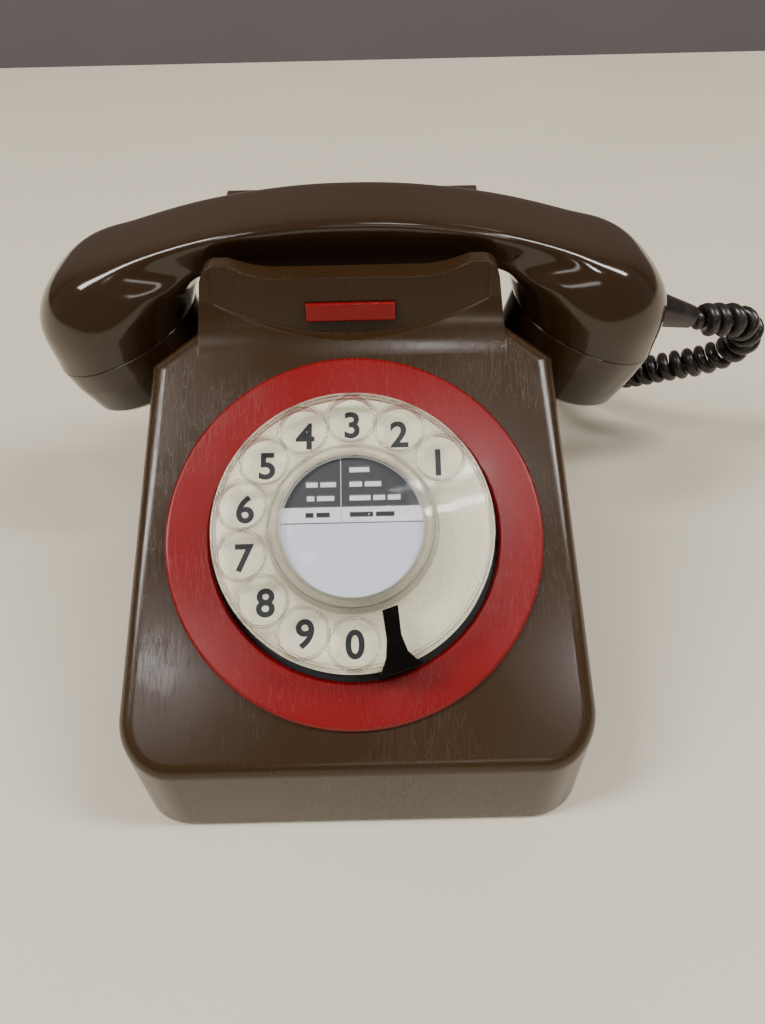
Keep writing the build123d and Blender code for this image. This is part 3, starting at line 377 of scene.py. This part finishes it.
class Finish(Enum):
    """Every finish on the telephone."""

    CASE = MouldedPlastic("case_plastic", (0.034, 0.0165, 0.0055), (0.040, 0.0205, 0.0078), 0.225, wear=0.6,
                          shine=0.34)
    HANDSET = MouldedPlastic("handset_plastic", (0.028, 0.0135, 0.0045), (0.034, 0.017, 0.0065), 0.10,
                             wear=0.25)
    RED = MouldedPlastic("red_plastic", (0.215, 0.0040, 0.0045), (0.190, 0.0042, 0.005), 0.24, wear=0.5,
                         shine=0.36)
    CLEAR = ClearPlastic("clear_plastic")
    COVER = ClearPlastic("cover_plastic", (0.98, 0.98, 0.98), 0.07, 0.6, 0.015)
    LABEL_RING = ClearPlastic("ring_plastic", (0.90, 0.90, 0.88), 0.35, 1.0, 0.03)
    RIM = ClearPlastic("rim_plastic", (0.86, 0.86, 0.84), 0.42, 1.0, 0.02)
    CREAM = SpeckledPlastic("cream_plastic", (0.90, 0.82, 0.60), (0.70, 0.62, 0.43))
    CARD = SpeckledPlastic("card_stock", (0.62, 0.63, 0.74), (0.59, 0.60, 0.70), 0.55)
    CARD_DARK = SpeckledPlastic("dark_print", (0.030, 0.031, 0.037), (0.038, 0.040, 0.046), 0.5)
    CARD_WHITE = SpeckledPlastic("white_print", (0.72, 0.72, 0.76), (0.68, 0.68, 0.72), 0.5)
    INK = SpeckledPlastic("black_ink", (0.010, 0.011, 0.014), (0.016, 0.017, 0.02), 0.35)
    CHROME = Metal("bright_chrome", (0.62, 0.62, 0.64), 0.12, 200)
    # finger stop chrome: its colour is painted near black, a painted dark reflection of dim surroundings
    # rather than the plating's own tint
    CHROME_PAINTED_DARK_REFLECTION = Metal("chrome_painted_dark_reflection", (0.040, 0.034, 0.032), 0.12, 200)
    STEEL = Metal("plated_steel", (0.56, 0.57, 0.59), 0.32)
    BRASS = Metal("turned_brass", (0.70, 0.52, 0.23), 0.28)
    ALUMINIUM = Metal("cast_aluminium", (0.62, 0.63, 0.64), 0.42)
    CORD = Rubber("cord_jacket", (0.016, 0.011, 0.009), 0.30)
    BLACK_RUBBER = Rubber("foot_rubber", (0.018, 0.018, 0.018), 0.62)
    BLACK_PLASTIC = MouldedPlastic("black_plastic", (0.012, 0.012, 0.013), (0.02, 0.02, 0.021), 0.38)
    WHITE_NYLON = MouldedPlastic("white_nylon", (0.70, 0.69, 0.64), (0.62, 0.60, 0.54), 0.42)
    WINDING = Metal("copper_winding", (0.48, 0.17, 0.07), 0.4, 900)
    BOARD = MouldedPlastic("board_laminate", (0.22, 0.13, 0.05), (0.27, 0.17, 0.07), 0.45)


class PaintBox:
    """Makes each finish's material once."""

    def __init__(self) -> None:
        """Starts with no materials made."""
        self.made: dict[Finish, bpy.types.Material] = {}

    def of(self, finish: Finish) -> bpy.types.Material:
        """The material of a finish, made on first use.

        Args:
            finish: which finish.

        Returns:
            Its material.
        """
        if finish not in self.made:
            self.made[finish] = finish.value.material()
        return self.made[finish]


# ---------------------------------------------------------------- sub-assemblies
@dataclass
class FixedNodes:
    """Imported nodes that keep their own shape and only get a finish."""

    title: str
    finishes: dict[str, Finish]

    def dress(self, nodes: dict[str, bpy.types.Object], paints: PaintBox) -> None:
        """Gives each node its finish.

        Args:
            nodes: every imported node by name.
            paints: the materials.
        """
        for name, finish in self.finishes.items():
            soften(nodes[name])
            dress(nodes[name], paints.of(finish))
        log.info("%s: %d nodes dressed", self.title, len(self.finishes))


@dataclass
class Dial:
    """Digits, moulded lips and label art on the dial, placed in the dial's own plane."""

    centre: Vector
    outwards: Vector
    hole_circle: float = 30.7 * MM
    hole_pitch: float = 2 * math.pi / 14
    digit_height: float = 7.6 * MM
    digit_rise: float = 0.1 * MM
    stroke_growth: float = 0.27 * MM
    ink_height: float = 0.03 * MM
    ring_top: float = 5.4 * MM
    # middle radius, middle height and thickness of each lip round a finger hole and round the dial
    hole_lips: tuple[Point, ...] = ((6.75, 11.72, 0.42), (6.72, 8.9, 0.38))
    dial_lips: tuple[Point, ...] = ((37.65, 11.72, 0.42), (37.6, 8.9, 0.38), (36.6, 11.7, 0.22),
                                    (22.9, 12.0, 0.36), (21.55, 14.9, 0.34), (19.6, 14.9, 0.28))
    hole_lip_steps: int = 40
    dial_lip_steps: int = 128
    lip_sides: int = 8

    def plane(self, height: float) -> Matrix:
        """Frame of a plane across the dial.

        Args:
            height: distance from the panel along the dial's axis.

        Returns:
            Matrix from the plane's x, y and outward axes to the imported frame.
        """
        across = Vector((1, 0, 0))
        upwards = self.outwards.cross(across)
        turned = Matrix((across, upwards, self.outwards)).transposed().to_4x4()
        return Matrix.Translation(self.centre + self.outwards * height) @ turned

    def holes(self) -> list[tuple[str, Spot]]:
        """Each finger hole's digit and centre, from 0 round to 1.

        Returns:
            Digits and centres in the dial's plane.
        """
        places = []
        for step in range(10):
            angle = -math.pi / 2 - step * self.hole_pitch
            spot = (self.hole_circle * math.cos(angle), self.hole_circle * math.sin(angle))
            places.append((str((10 - step) % 10), spot))
        return places

    def digits(self, paints: PaintBox) -> bpy.types.Object:
        """Prints the digits 1 to 0 on the number ring.

        Args:
            paints: the materials.

        Returns:
            One piece that holds all ten digits.
        """
        made = bmesh.new()
        for digit, (x, y) in self.holes():
            glyph = self.glyph(digit)
            glyph.transform(Matrix.Translation((x, y + self.digit_rise, 0)))
            made.from_mesh(glyph)
            bpy.data.meshes.remove(glyph)
        made.transform(self.plane(self.ring_top))
        piece = mesh_piece("number_digits", made, "base")
        dress(piece, paints.of(Finish.INK))
        return piece

    def glyph(self, character: str) -> bpy.types.Mesh:
        """One bold digit as a thin solid, centred on its own origin.

        Args:
            character: the digit.

        Returns:
            Its mesh.
        """
        curve = bpy.data.curves.new("digit", "FONT")
        curve.body = character
        curve.size = self.digit_height * 1.38
        curve.offset = self.stroke_growth
        curve.extrude = self.ink_height
        curve.resolution_u = 8
        curve.align_x = "CENTER"
        curve.align_y = "CENTER"
        holder = bpy.data.objects.new("digit", curve)
        bpy.context.scene.collection.objects.link(holder)
        bpy.context.view_layer.update()
        evaluated = holder.evaluated_get(bpy.context.evaluated_depsgraph_get())
        mesh = bpy.data.meshes.new_from_object(evaluated)
        bpy.data.objects.remove(holder)
        bpy.data.curves.remove(curve)
        middle = sum((Vector(corner.co) for corner in mesh.vertices), Vector()) / len(mesh.vertices)
        lows = [min(corner.co[side] for corner in mesh.vertices) for side in range(2)]
        highs = [max(corner.co[side] for corner in mesh.vertices) for side in range(2)]
        mesh.transform(Matrix.Translation((-(lows[0] + highs[0]) / 2, -(lows[1] + highs[1]) / 2, -middle.z)))
        return mesh

    def rims(self, paints: PaintBox) -> bpy.types.Object:
        """Moulded lips round the finger holes, the plate's edge and the label ring's steps.

        Args:
            paints: the materials.

        Returns:
            One piece that holds every lip.
        """
        made = bmesh.new()
        for _, spot in self.holes():
            for sizes in self.hole_lips:
                self.lip(made, spot, sizes, self.hole_lip_steps)
        for sizes in self.dial_lips:
            self.lip(made, (0, 0), sizes, self.dial_lip_steps)
        made.transform(self.plane(0))
        piece = mesh_piece("plate_rims", made, "dial")
        soften(piece, 80)
        dress(piece, paints.of(Finish.RIM))
        log.info("dial: lips round %d holes and %d steps", len(self.holes()), len(self.dial_lips))
        return piece

    def lip(self, made: bmesh.types.BMesh, spot: Spot, sizes: Point, steps: int) -> None:
        """Adds one round lip.

        Args:
            made: mesh data that gets the lip.
            spot: the lip's centre on the dial.
            sizes: middle radius, middle height and thickness in millimetres.
            steps: corners round the lip.
        """
        radius, height, thickness = (size * MM for size in sizes)
        rings = []
        for step in range(steps):
            turn = 2 * math.pi * step / steps
            ring = []
            for side in range(self.lip_sides):
                tilt = 2 * math.pi * side / self.lip_sides
                out = radius + thickness * math.cos(tilt)
                ring.append(made.verts.new((spot[0] + out * math.cos(turn), spot[1] + out * math.sin(turn),
                                            height + thickness * math.sin(tilt))))
            rings.append(ring)
        for near, far in zip(rings, rings[1:] + rings[:1]):
            for side in range(self.lip_sides):
                after = (side + 1) % self.lip_sides
                made.faces.new((near[side], near[after], far[after], far[side]))


@dataclass
class LabelCard:
    """Art printed on the round card: a dark field, a white band, rules and plain bars."""

    dial: Dial
    top: float = 13.1 * MM
    radius: float = 18.9 * MM
    ink: float = 0.025 * MM
    field_foot: float = 5.2 * MM
    band_foot: float = 1.0 * MM
    rule_foot: float = 0.75 * MM
    divider: Spot = (-3.0 * MM, -2.8 * MM)
    divider_top: float = 18.4 * MM
    bar_height: float = 1.35 * MM
    bar_gap: float = 0.7 * MM
    arc_steps: int = 24
    # left end, middle height and bar lengths of each row in millimetres
    field_rows: tuple[tuple[float, float, tuple[float, ...]], ...] = (
        (-12.2, 11.4, (3.1, 4.2)), (-12.0, 7.6, (2.0, 4.6)), (-0.6, 15.4, (5.4,)),
        (-0.6, 11.4, (3.4, 4.4)), (-0.6, 7.6, (5.6, 3.2, 3.4)),
    )
    band_rows: tuple[tuple[float, float, tuple[float, ...]], ...] = (
        (-12.4, 3.1, (2.2, 3.6)), (-0.6, 3.1, (6.2, 5.0)),
    )

    def band(self, low: float, high: float) -> list[Spot]:
        """Outline of the round card between two heights.

        Args:
            low: lower edge across the card.
            high: upper edge across the card.

        Returns:
            Corners of the outline, counter-clockwise.
        """
        start, end = math.asin(low / self.radius), math.asin(min(1, high / self.radius))
        right = [start + (end - start) * step / self.arc_steps for step in range(self.arc_steps + 1)]
        corners = [(self.radius * math.cos(turn), self.radius * math.sin(turn)) for turn in right]
        return corners + [(-x, y) for x, y in reversed(corners)]

    @staticmethod
    def oblong(left: float, right: float, low: float, high: float) -> list[Spot]:
        """Corners of an upright rectangle, counter-clockwise."""
        return [(left, low), (right, low), (right, high), (left, high)]

    def bars(self, rows: Iterable[tuple[float, float, tuple[float, ...]]]) -> list[list[Spot]]:
        """Rows of plain bars that stand where a card has lettering.

        Args:
            rows: for each row its left end, its middle height and its bars' lengths in millimetres.

        Returns:
            The bars' outlines.
        """
        outlines = []
        for start, height, lengths in rows:
            left, middle = start * MM, height * MM
            for length in lengths:
                right = left + length * MM
                outlines.append(self.oblong(left, right, middle - self.bar_height / 2,
                                            middle + self.bar_height / 2))
                left = right + self.bar_gap
        return outlines

    def printed(self, name: str, outlines: list[list[Spot]], layer: int, paint: bpy.types.Material) -> None:
        """Prints flat shapes on the card.

        Args:
            name: the piece's name.
            outlines: the shapes' corners.
            layer: how many ink layers high the shapes' faces lie.
            paint: the ink.
        """
        made = bmesh.new()
        for outline in outlines:
            made.faces.new([made.verts.new((x, y, layer * self.ink)) for x, y in outline])
        walls = bmesh.ops.extrude_face_region(made, geom=made.faces[:])
        sunk = [item for item in walls["geom"] if isinstance(item, bmesh.types.BMVert)]
        bmesh.ops.translate(made, verts=sunk, vec=(0, 0, -self.ink))
        made.transform(self.dial.plane(self.top))
        dress(mesh_piece(name, made, "dial"), paint)
        log.info("card: %s has %d shapes", name, len(outlines))

    def build(self, paints: PaintBox) -> None:
        """Prints every piece of the art.

        Args:
            paints: the materials.
        """
        dark, white, black = (paints.of(ink) for ink in (Finish.CARD_DARK, Finish.CARD_WHITE, Finish.INK))
        self.printed("card_field", [self.band(self.field_foot, self.radius)], 1, dark)
        self.printed("card_band", [self.band(self.band_foot, self.field_foot)], 1, white)
        rules = [self.band(self.rule_foot, self.band_foot)]
        rules.append(self.oblong(*self.divider, self.band_foot, self.field_foot))
        self.printed("card_rules", rules, 1, black)
        pale = [self.oblong(*self.divider, self.field_foot, self.divider_top)]
        self.printed("card_bars", pale + self.bars(self.field_rows), 2, white)
        self.printed("card_notes", self.bars(self.band_rows), 2, black)


@dataclass
class Handset:
    """Handset shell, lofted from its cap seams round each end and along the handle."""

    middle_y: float = 39.5 * MM
    steps: int = 9
    corners: int = 72
    # inner and outer point in x and z, half depth in y and squareness, from a seam to the middle
    stations: tuple[tuple[float, ...], ...] = (
        (54.1, 92.6, 103.9, 74.4, 26.5, 0.0),
        (52.4, 98.0, 104.9, 93.0, 26.6, 0.0),
        (50.6, 103.4, 92.6, 108.6, 23.2, 0.15),
        (46.5, 107.4, 73.0, 114.9, 19.0, 0.5),
        (38.0, 108.9, 47.5, 121.2, 17.2, 0.85),
        (20.0, 108.4, 21.8, 125.0, 16.5, 1.0),
        (0.0, 108.4, 0.0, 126.0, 16.4, 1.0),
    )

    def rows(self) -> list[list[float]]:
        """The stations with smooth steps between them.

        Returns:
            One row of numbers for each section, from the seam to the middle.
        """
        rows = [list(row) for row in self.stations]
        beyond_seam = [2 * first - second for first, second in zip(rows[0], rows[1])]
        inner_x, inner_z, outer_x, *rest = rows[-2]
        rows = [beyond_seam, *rows, [-inner_x, inner_z, -outer_x, *rest]]
        blended = []
        for four in zip(rows, rows[1:], rows[2:], rows[3:]):
            for step in range(self.steps):
                blended.append([self.between(*values, step / self.steps) for values in zip(*four)])
        return blended + [rows[-2]]

    @staticmethod
    def between(before: float, start: float, end: float, after: float, share: float) -> float:
        """Point of the smooth curve from start to end.

        Args:
            before: value one station before start.
            start: value at share 0.
            end: value at share 1.
            after: value one station after end.
            share: how far along.

        Returns:
            The value there.
        """
        return 0.5 * (2 * start + (end - before) * share
                      + (2 * before - 5 * start + 4 * end - after) * share ** 2
                      + (3 * start - before - 3 * end + after) * share ** 3)

    def section(self, row: list[float], side: int) -> list[Vector]:
        """Points of one section, between round and a rounded trapezium.

        Args:
            row: the section's numbers.
            side: 1 on the mouthpiece's side, -1 on the earpiece's.

        Returns:
            The section's points, in metres.
        """
        inner_x, inner_z, outer_x, outer_z, half_depth, square = row
        square = min(1.0, max(0.0, square))
        power = 2 / (2 + 4.4 * square)
        up = Vector((outer_x - inner_x, 0, outer_z - inner_z))
        middle = Vector(((inner_x + outer_x) / 2, 0, (inner_z + outer_z) / 2))
        points = []
        for corner in range(self.corners):
            turn = 2 * math.pi * corner / self.corners
            rise = math.copysign(abs(math.cos(turn)) ** power, math.cos(turn))
            spread = math.copysign(abs(math.sin(turn)) ** power, math.sin(turn))
            narrowing = 1 - 0.12 * square * (1 - rise)
            point = middle + up / 2 * rise
            points.append(Vector((side * point.x * MM, self.middle_y + half_depth * spread * narrowing * MM,
                                  point.z * MM)))
        return points

    def build(self, paints: PaintBox) -> bpy.types.Object:
        """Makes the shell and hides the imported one.

        Args:
            paints: the materials.

        Returns:
            The shell.
        """
        rows = self.rows()
        rings = [self.section(row, 1) for row in rows]
        rings += [self.section(row, -1) for row in reversed(rows[:-1])]
        made = bmesh.new()
        laid = [[made.verts.new(point) for point in ring] for ring in rings]
        for near, far in zip(laid, laid[1:]):
            for corner in range(self.corners):
                after = (corner + 1) % self.corners
                made.faces.new((near[corner], near[after], far[after], far[corner]))
        for end in (laid[0], laid[-1]):
            made.faces.new(end)
        piece = mesh_piece("handset_body", made, "handset")
        soften(piece, 40)
        dress(piece, paints.of(Finish.HANDSET))
        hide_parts("handset_shell")
        log.info("handset: shell of %d sections", len(rings))
        return piece


@dataclass
class CurlyCord:
    """Curly cord from the handset's relief to the grommet in the rear of the case."""

    wire: float = 4.3 * MM
    turn_radius: float = 4.3 * MM
    length: float = 1.08
    turn_points: int = 18
    route_steps: int = 24
    lead: float = 9 * MM
    close_pitch: float = 4.8 * MM
    fold_spread: float = 1.6 * MM
    fold_place: float = 34 * MM
    fold_reach: float = 20 * MM
    inlet_spread: float = 1.0 * MM
    inlet_reach: float = 30 * MM
    blend_start: Point = (0.135, 0.060, 0.066)
    blend_end: Point = (0.105, 0.105, 0.012)
    route: tuple[Point, ...] = (
        (0.124, 0.055, 0.073), (0.13135, 0.05668, 0.07033), (0.1472, 0.0585, 0.069),
        (0.155, 0.065, 0.0555), (0.146, 0.0715, 0.0425), (0.131, 0.076, 0.0365),
        (0.1185, 0.083, 0.028), (0.109, 0.097, 0.0175), (0.097, 0.115, 0.0095),
        (0.080, 0.128, 0.0075), (0.061, 0.132, 0.0072), (0.047, 0.126, 0.0095),
        (0.042, 0.113, 0.015), (0.042, 0.100, 0.015),
    )

    def centre_line(self) -> list[Vector]:
        """Points read off the smooth spline whose control points are the route.

        Returns:
            Points along the middle of the turns.
        """
        curve = self.spline("cord_route", [Vector(point) for point in self.route], self.route_steps)
        mesh = bpy.data.meshes.new_from_object(curve)
        points = [corner.co.copy() for corner in mesh.vertices]
        bpy.data.meshes.remove(mesh)
        data = curve.data
        bpy.data.objects.remove(curve)
        bpy.data.curves.remove(data)
        return points

    @staticmethod
    def spline(name: str, points: list[Vector], resolution: int) -> bpy.types.Object:
        """A smooth open spline.

        Args:
            name: the object's name.
            points: its control points.
            resolution: steps from one control point to the next.

        Returns:
            A curve object with no thickness.
        """
        data = bpy.data.curves.new(name, "CURVE")
        data.dimensions = "3D"
        data.resolution_u = resolution
        line = data.splines.new("NURBS")
        line.points.add(len(points) - 1)
        for place, point in zip(line.points, points):
            place.co = (*point, 1)
        line.order_u = 3
        line.use_endpoint_u = True
        curve = bpy.data.objects.new(name, data)
        bpy.context.scene.collection.objects.link(curve)
        bpy.context.view_layer.update()
        return curve

    def pitch(self, distance: float, total: float) -> float:
        """Distance from one turn to the next, wider at the open fold and by the grommet.

        Args:
            distance: how far along the cord's middle.
            total: length of the cord's middle.

        Returns:
            The pitch in metres.
        """
        fold = math.exp(-((distance - self.fold_place) / self.fold_reach) ** 2)
        inlet = math.exp(-((total - distance) / self.inlet_reach) ** 2)
        return self.close_pitch + self.fold_spread * fold + self.inlet_spread * inlet

    def turns(self) -> list[Vector]:
        """Points of the wire, wound round the centre line.

        Returns:
            The wire's points, from the relief to the grommet.
        """
        middle = self.centre_line()
        runs = [(after - before).length for before, after in zip(middle, middle[1:])]
        total = sum(runs)
        side = Vector((0, 0, 1))
        distance, turn, carried, wound = 0.0, math.pi, 0.0, []
        step_share = 2 * math.pi / self.turn_points
        for before, after, run in zip(middle, middle[1:], runs):
            ahead = (after - before).normalized()
            side = (side - ahead * side.dot(ahead)).normalized()
            other = ahead.cross(side)
            travelled = carried
            while travelled < run:
                ease = min(1.0, distance / self.lead, (total - distance) / self.lead)
                radius = self.turn_radius * math.sin(max(0.0, ease) * math.pi / 2) ** 2
                at = before + ahead * travelled
                wound.append(at + (side * math.cos(turn) + other * math.sin(turn)) * radius)
                move = self.pitch(distance, total) / self.turn_points
                travelled += move
                distance += move
                turn += step_share
            carried = travelled - run
        return [middle[0]] + wound[1:] + [middle[-1]]

    def build(self, paints: PaintBox) -> bpy.types.Object:
        """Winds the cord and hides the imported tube.

        Args:
            paints: the materials.

        Returns:
            The cord.
        """
        points = self.turns()
        curve = self.spline("cord_wire", points, 1)
        bare = bpy.data.meshes.new_from_object(curve)
        path = [corner.co.copy() for corner in bare.vertices]
        curve.data.bevel_depth = self.wire / 2
        curve.data.bevel_resolution = 4
        curve.data.use_fill_caps = True
        bpy.context.view_layer.update()
        mesh = bpy.data.meshes.new_from_object(curve.evaluated_get(bpy.context.evaluated_depsgraph_get()))
        bpy.data.objects.remove(curve)
        piece = bpy.data.objects.new("curly_cord", mesh)
        bpy.context.scene.collection.objects.link(piece)
        piece.data.shade_smooth()
        dress(piece, paints.of(Finish.CORD))
        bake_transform(piece)
        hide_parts("handset_cord")
        measured = sum((after - before).length for before, after in zip(path, path[1:]))
        log.info("cord: %d points, %.3f m of wire", len(path), measured)
        return piece


@dataclass
class Studio:
    """Camera, table, backdrop and lights."""

    sensor: float = 36.0
    lens: float = 26.02
    eye: Point = (0.0081, -0.1883, 0.2198)
    depression: float = math.radians(45.4)
    roll: float = math.radians(1.3)
    table_edge: float = 0.695
    wall_gap: float = 0.3
    room_colour: Colour = (0.86, 0.85, 0.84)
    room_strength: float = 0.19

    def camera(self) -> None:
        """Sets up the camera at the viewing angle."""
        cos_down, sin_down = math.cos(self.depression), math.sin(self.depression)
        ahead = Vector((0, cos_down, -sin_down))
        level = Vector((1, 0, 0))
        below = Vector((0, -sin_down, -cos_down))
        right = level * math.cos(self.roll) + below * math.sin(self.roll)
        down = below * math.cos(self.roll) - level * math.sin(self.roll)
        data = bpy.data.cameras.new("camera")
        data.sensor_fit = "VERTICAL"
        data.sensor_height = self.sensor
        data.lens = self.lens
        data.clip_start = 0.01
        camera = bpy.data.objects.new("camera", data)
        turned = Matrix((right, -down, -ahead)).transposed().to_4x4()
        camera.matrix_world = Matrix.Translation(self.eye) @ turned
        bpy.context.scene.collection.objects.link(camera)
        bpy.context.scene.camera = camera

    def slab(self, name: str, corners: list[Point], colour: Colour, roughness: float) -> None:
        """A flat piece of scenery.

        Args:
            name: its name.
            corners: its four corners.
            colour: its colour.
            roughness: its roughness.
        """
        mesh = bpy.data.meshes.new(name)
        mesh.from_pydata(corners, [], [(0, 1, 2, 3)])
        piece = bpy.data.objects.new(name, mesh)
        bpy.context.scene.collection.objects.link(piece)
        bench = NodeBench(name)
        darker = tuple(0.94 * part for part in colour)
        clouds = bench.ranged(bench.noise(5, 5), 0.3, 0.7, 0, 1)
        bench.feed({"Base Color": bench.mixed(clouds, colour, darker), "Roughness": roughness})
        bench.relief(bench.noise(900, 3), 0.03 * MM, 0)
        dress(piece, bench.material)
        piece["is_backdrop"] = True

    def table(self) -> None:
        """Lays the pale table and the wall behind its far edge."""
        edge, wall = self.table_edge, self.table_edge + self.wall_gap
        self.slab("table", [(-2, -1.2, 0), (2, -1.2, 0), (2, edge, 0), (-2, edge, 0)],
                  (0.78, 0.70, 0.55), 0.5)
        self.slab("wall", [(-3, wall, -1), (3, wall, -1), (3, wall, 1.5), (-3, wall, 1.5)],
                  (0.17, 0.145, 0.14), 0.8)

    def light(self, name: str, place: Point, aim: Point, size: tuple[float, float], power: float,
              colour: Colour = (1, 1, 1)) -> None:
        """A rectangular lamp.

        Args:
            name: its name.
            place: where it hangs.
            aim: the point that it faces.
            size: its width and length.
            power: its power in watts.
            colour: its colour.
        """
        data = bpy.data.lights.new(name, "AREA")
        data.shape = "RECTANGLE"
        data.size, data.size_y = size
        data.energy = power
        data.color = colour
        lamp = bpy.data.objects.new(name, data)
        towards = Vector(aim) - Vector(place)
        lamp.matrix_world = Matrix.Translation(place) @ towards.to_track_quat("-Z", "Y").to_matrix().to_4x4()
        bpy.context.scene.collection.objects.link(lamp)

    def lights(self) -> None:
        """Hangs the lamps and sets the room's own light."""
        target = (0, 0, 0.05)
        self.light("lamp_left", (-1.30, -0.40, 1.7), target, (0.40, 1.2), 38, (1.0, 0.98, 0.95))
        self.light("lamp_right", (1.30, -0.15, 1.7), target, (0.25, 1.2), 30, (1.0, 0.98, 0.95))
        self.light("lamp_back", (0.15, 1.5, 1.9), target, (1.6, 0.3), 24, (1.0, 0.97, 0.93))
        self.light("lamp_front", (0.3, -2.6, 1.7), target, (1.2, 0.3), 5, (1.0, 0.97, 0.93))
        for name, across in (("lamp_small_left", -0.60), ("lamp_small_right", 0.60)):
            self.light(name, (across, -0.95, 1.5), target, (0.16, 0.07), 1.8)
        self.light("tube_near", (0.15, -0.58, 1.6), target, (0.24, 0.018), 1.1)
        self.light("tube_far", (0.15, -0.50, 1.6), target, (0.24, 0.018), 1.1)
        world = bpy.data.worlds.new("room")
        world.use_nodes = True
        background = world.node_tree.nodes["Background"]
        background.inputs["Color"].default_value = (*self.room_colour, 1)
        background.inputs["Strength"].default_value = self.room_strength
        bpy.context.scene.world = world


HOUSING = FixedNodes("housing", {
    "case": Finish.CASE, "base_plate": Finish.STEEL, "rubber_feet": Finish.BLACK_RUBBER,
    "case_screws": Finish.STEEL, "label_bar": Finish.RED, "handset_cord_grommet": Finish.BLACK_RUBBER,
    "line_cord_grommet": Finish.BLACK_RUBBER, "plunger_left": Finish.BLACK_PLASTIC,
    "plunger_right": Finish.BLACK_PLASTIC,
})
DIAL_PIECES = FixedNodes("dial", {
    "dial_surround": Finish.RED, "dial_frame": Finish.BLACK_PLASTIC, "number_ring": Finish.CREAM,
    "finger_plate": Finish.CLEAR, "label_ring": Finish.LABEL_RING, "label_card": Finish.CARD,
    "label_cover": Finish.COVER, "finger_stop": Finish.CHROME_PAINTED_DARK_REFLECTION, "hub_screws": Finish.CHROME,
    "dial_spindle": Finish.STEEL, "dial_bush": Finish.BRASS, "dial_screws": Finish.STEEL,
    "rear_plate": Finish.STEEL, "dial_posts": Finish.STEEL, "spring_barrel": Finish.BRASS,
    "mainspring": Finish.STEEL, "governor_bracket": Finish.BRASS, "governor_cup": Finish.BRASS,
    "governor_worm": Finish.STEEL, "governor_weights": Finish.BRASS, "pulse_springs": Finish.BRASS,
    "main_gear": Finish.BRASS, "pinion": Finish.STEEL, "impulse_cam": Finish.WHITE_NYLON,
    "worm_wheel": Finish.BRASS,
})
INTERIOR = FixedNodes("interior", {
    "bell_bracket": Finish.STEEL, "gong_left": Finish.BRASS, "gong_right": Finish.BRASS,
    "gong_screws": Finish.STEEL, "ringer_core": Finish.STEEL, "ringer_coils": Finish.WINDING,
    "clapper": Finish.STEEL, "circuit_board": Finish.BOARD, "board_standoffs": Finish.WHITE_NYLON,
    "induction_coil": Finish.WINDING, "capacitor": Finish.ALUMINIUM, "terminal_block": Finish.BLACK_PLASTIC,
    "terminal_screws": Finish.BRASS, "switch_bracket": Finish.STEEL, "plunger_bar": Finish.BLACK_PLASTIC,
    "plunger_springs": Finish.STEEL, "switch_rocker": Finish.BLACK_PLASTIC, "rocker_pin": Finish.STEEL,
    "hook_springs": Finish.BRASS,
})
HANDSET_PIECES = FixedNodes("handset", {
    "ear_cap": Finish.HANDSET, "mouth_cap": Finish.HANDSET, "receiver_capsule": Finish.ALUMINIUM,
    "transmitter_capsule": Finish.ALUMINIUM, "handset_relief": Finish.CORD,
})


def main() -> tuple[list[float], list[float]]:
    """Loads the frame, then builds and dresses each sub-assembly.

    Returns:
        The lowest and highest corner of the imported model.
    """
    logging.basicConfig(level=logging.INFO, format="%(name)s %(message)s")
    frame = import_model()
    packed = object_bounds()
    nodes = frame["nodes"]
    paints = PaintBox()
    turn = next(joint for joint in frame["joints"] if joint["name"] == "dial_turn")
    dial = Dial(Vector(turn["pos_m"]), -Vector(turn["axis"]).normalized())
    studio = Studio()
    studio.camera()
    CurlyCord().build(paints)
    for group in (HOUSING, DIAL_PIECES, INTERIOR, HANDSET_PIECES):
        group.dress(nodes, paints)
    dial.digits(paints)
    LabelCard(dial).build(paints)
    dial.rims(paints)
    Handset().build(paints)
    studio.table()
    studio.lights()
    return packed


if __name__ == "__main__":
    packed_box = main()
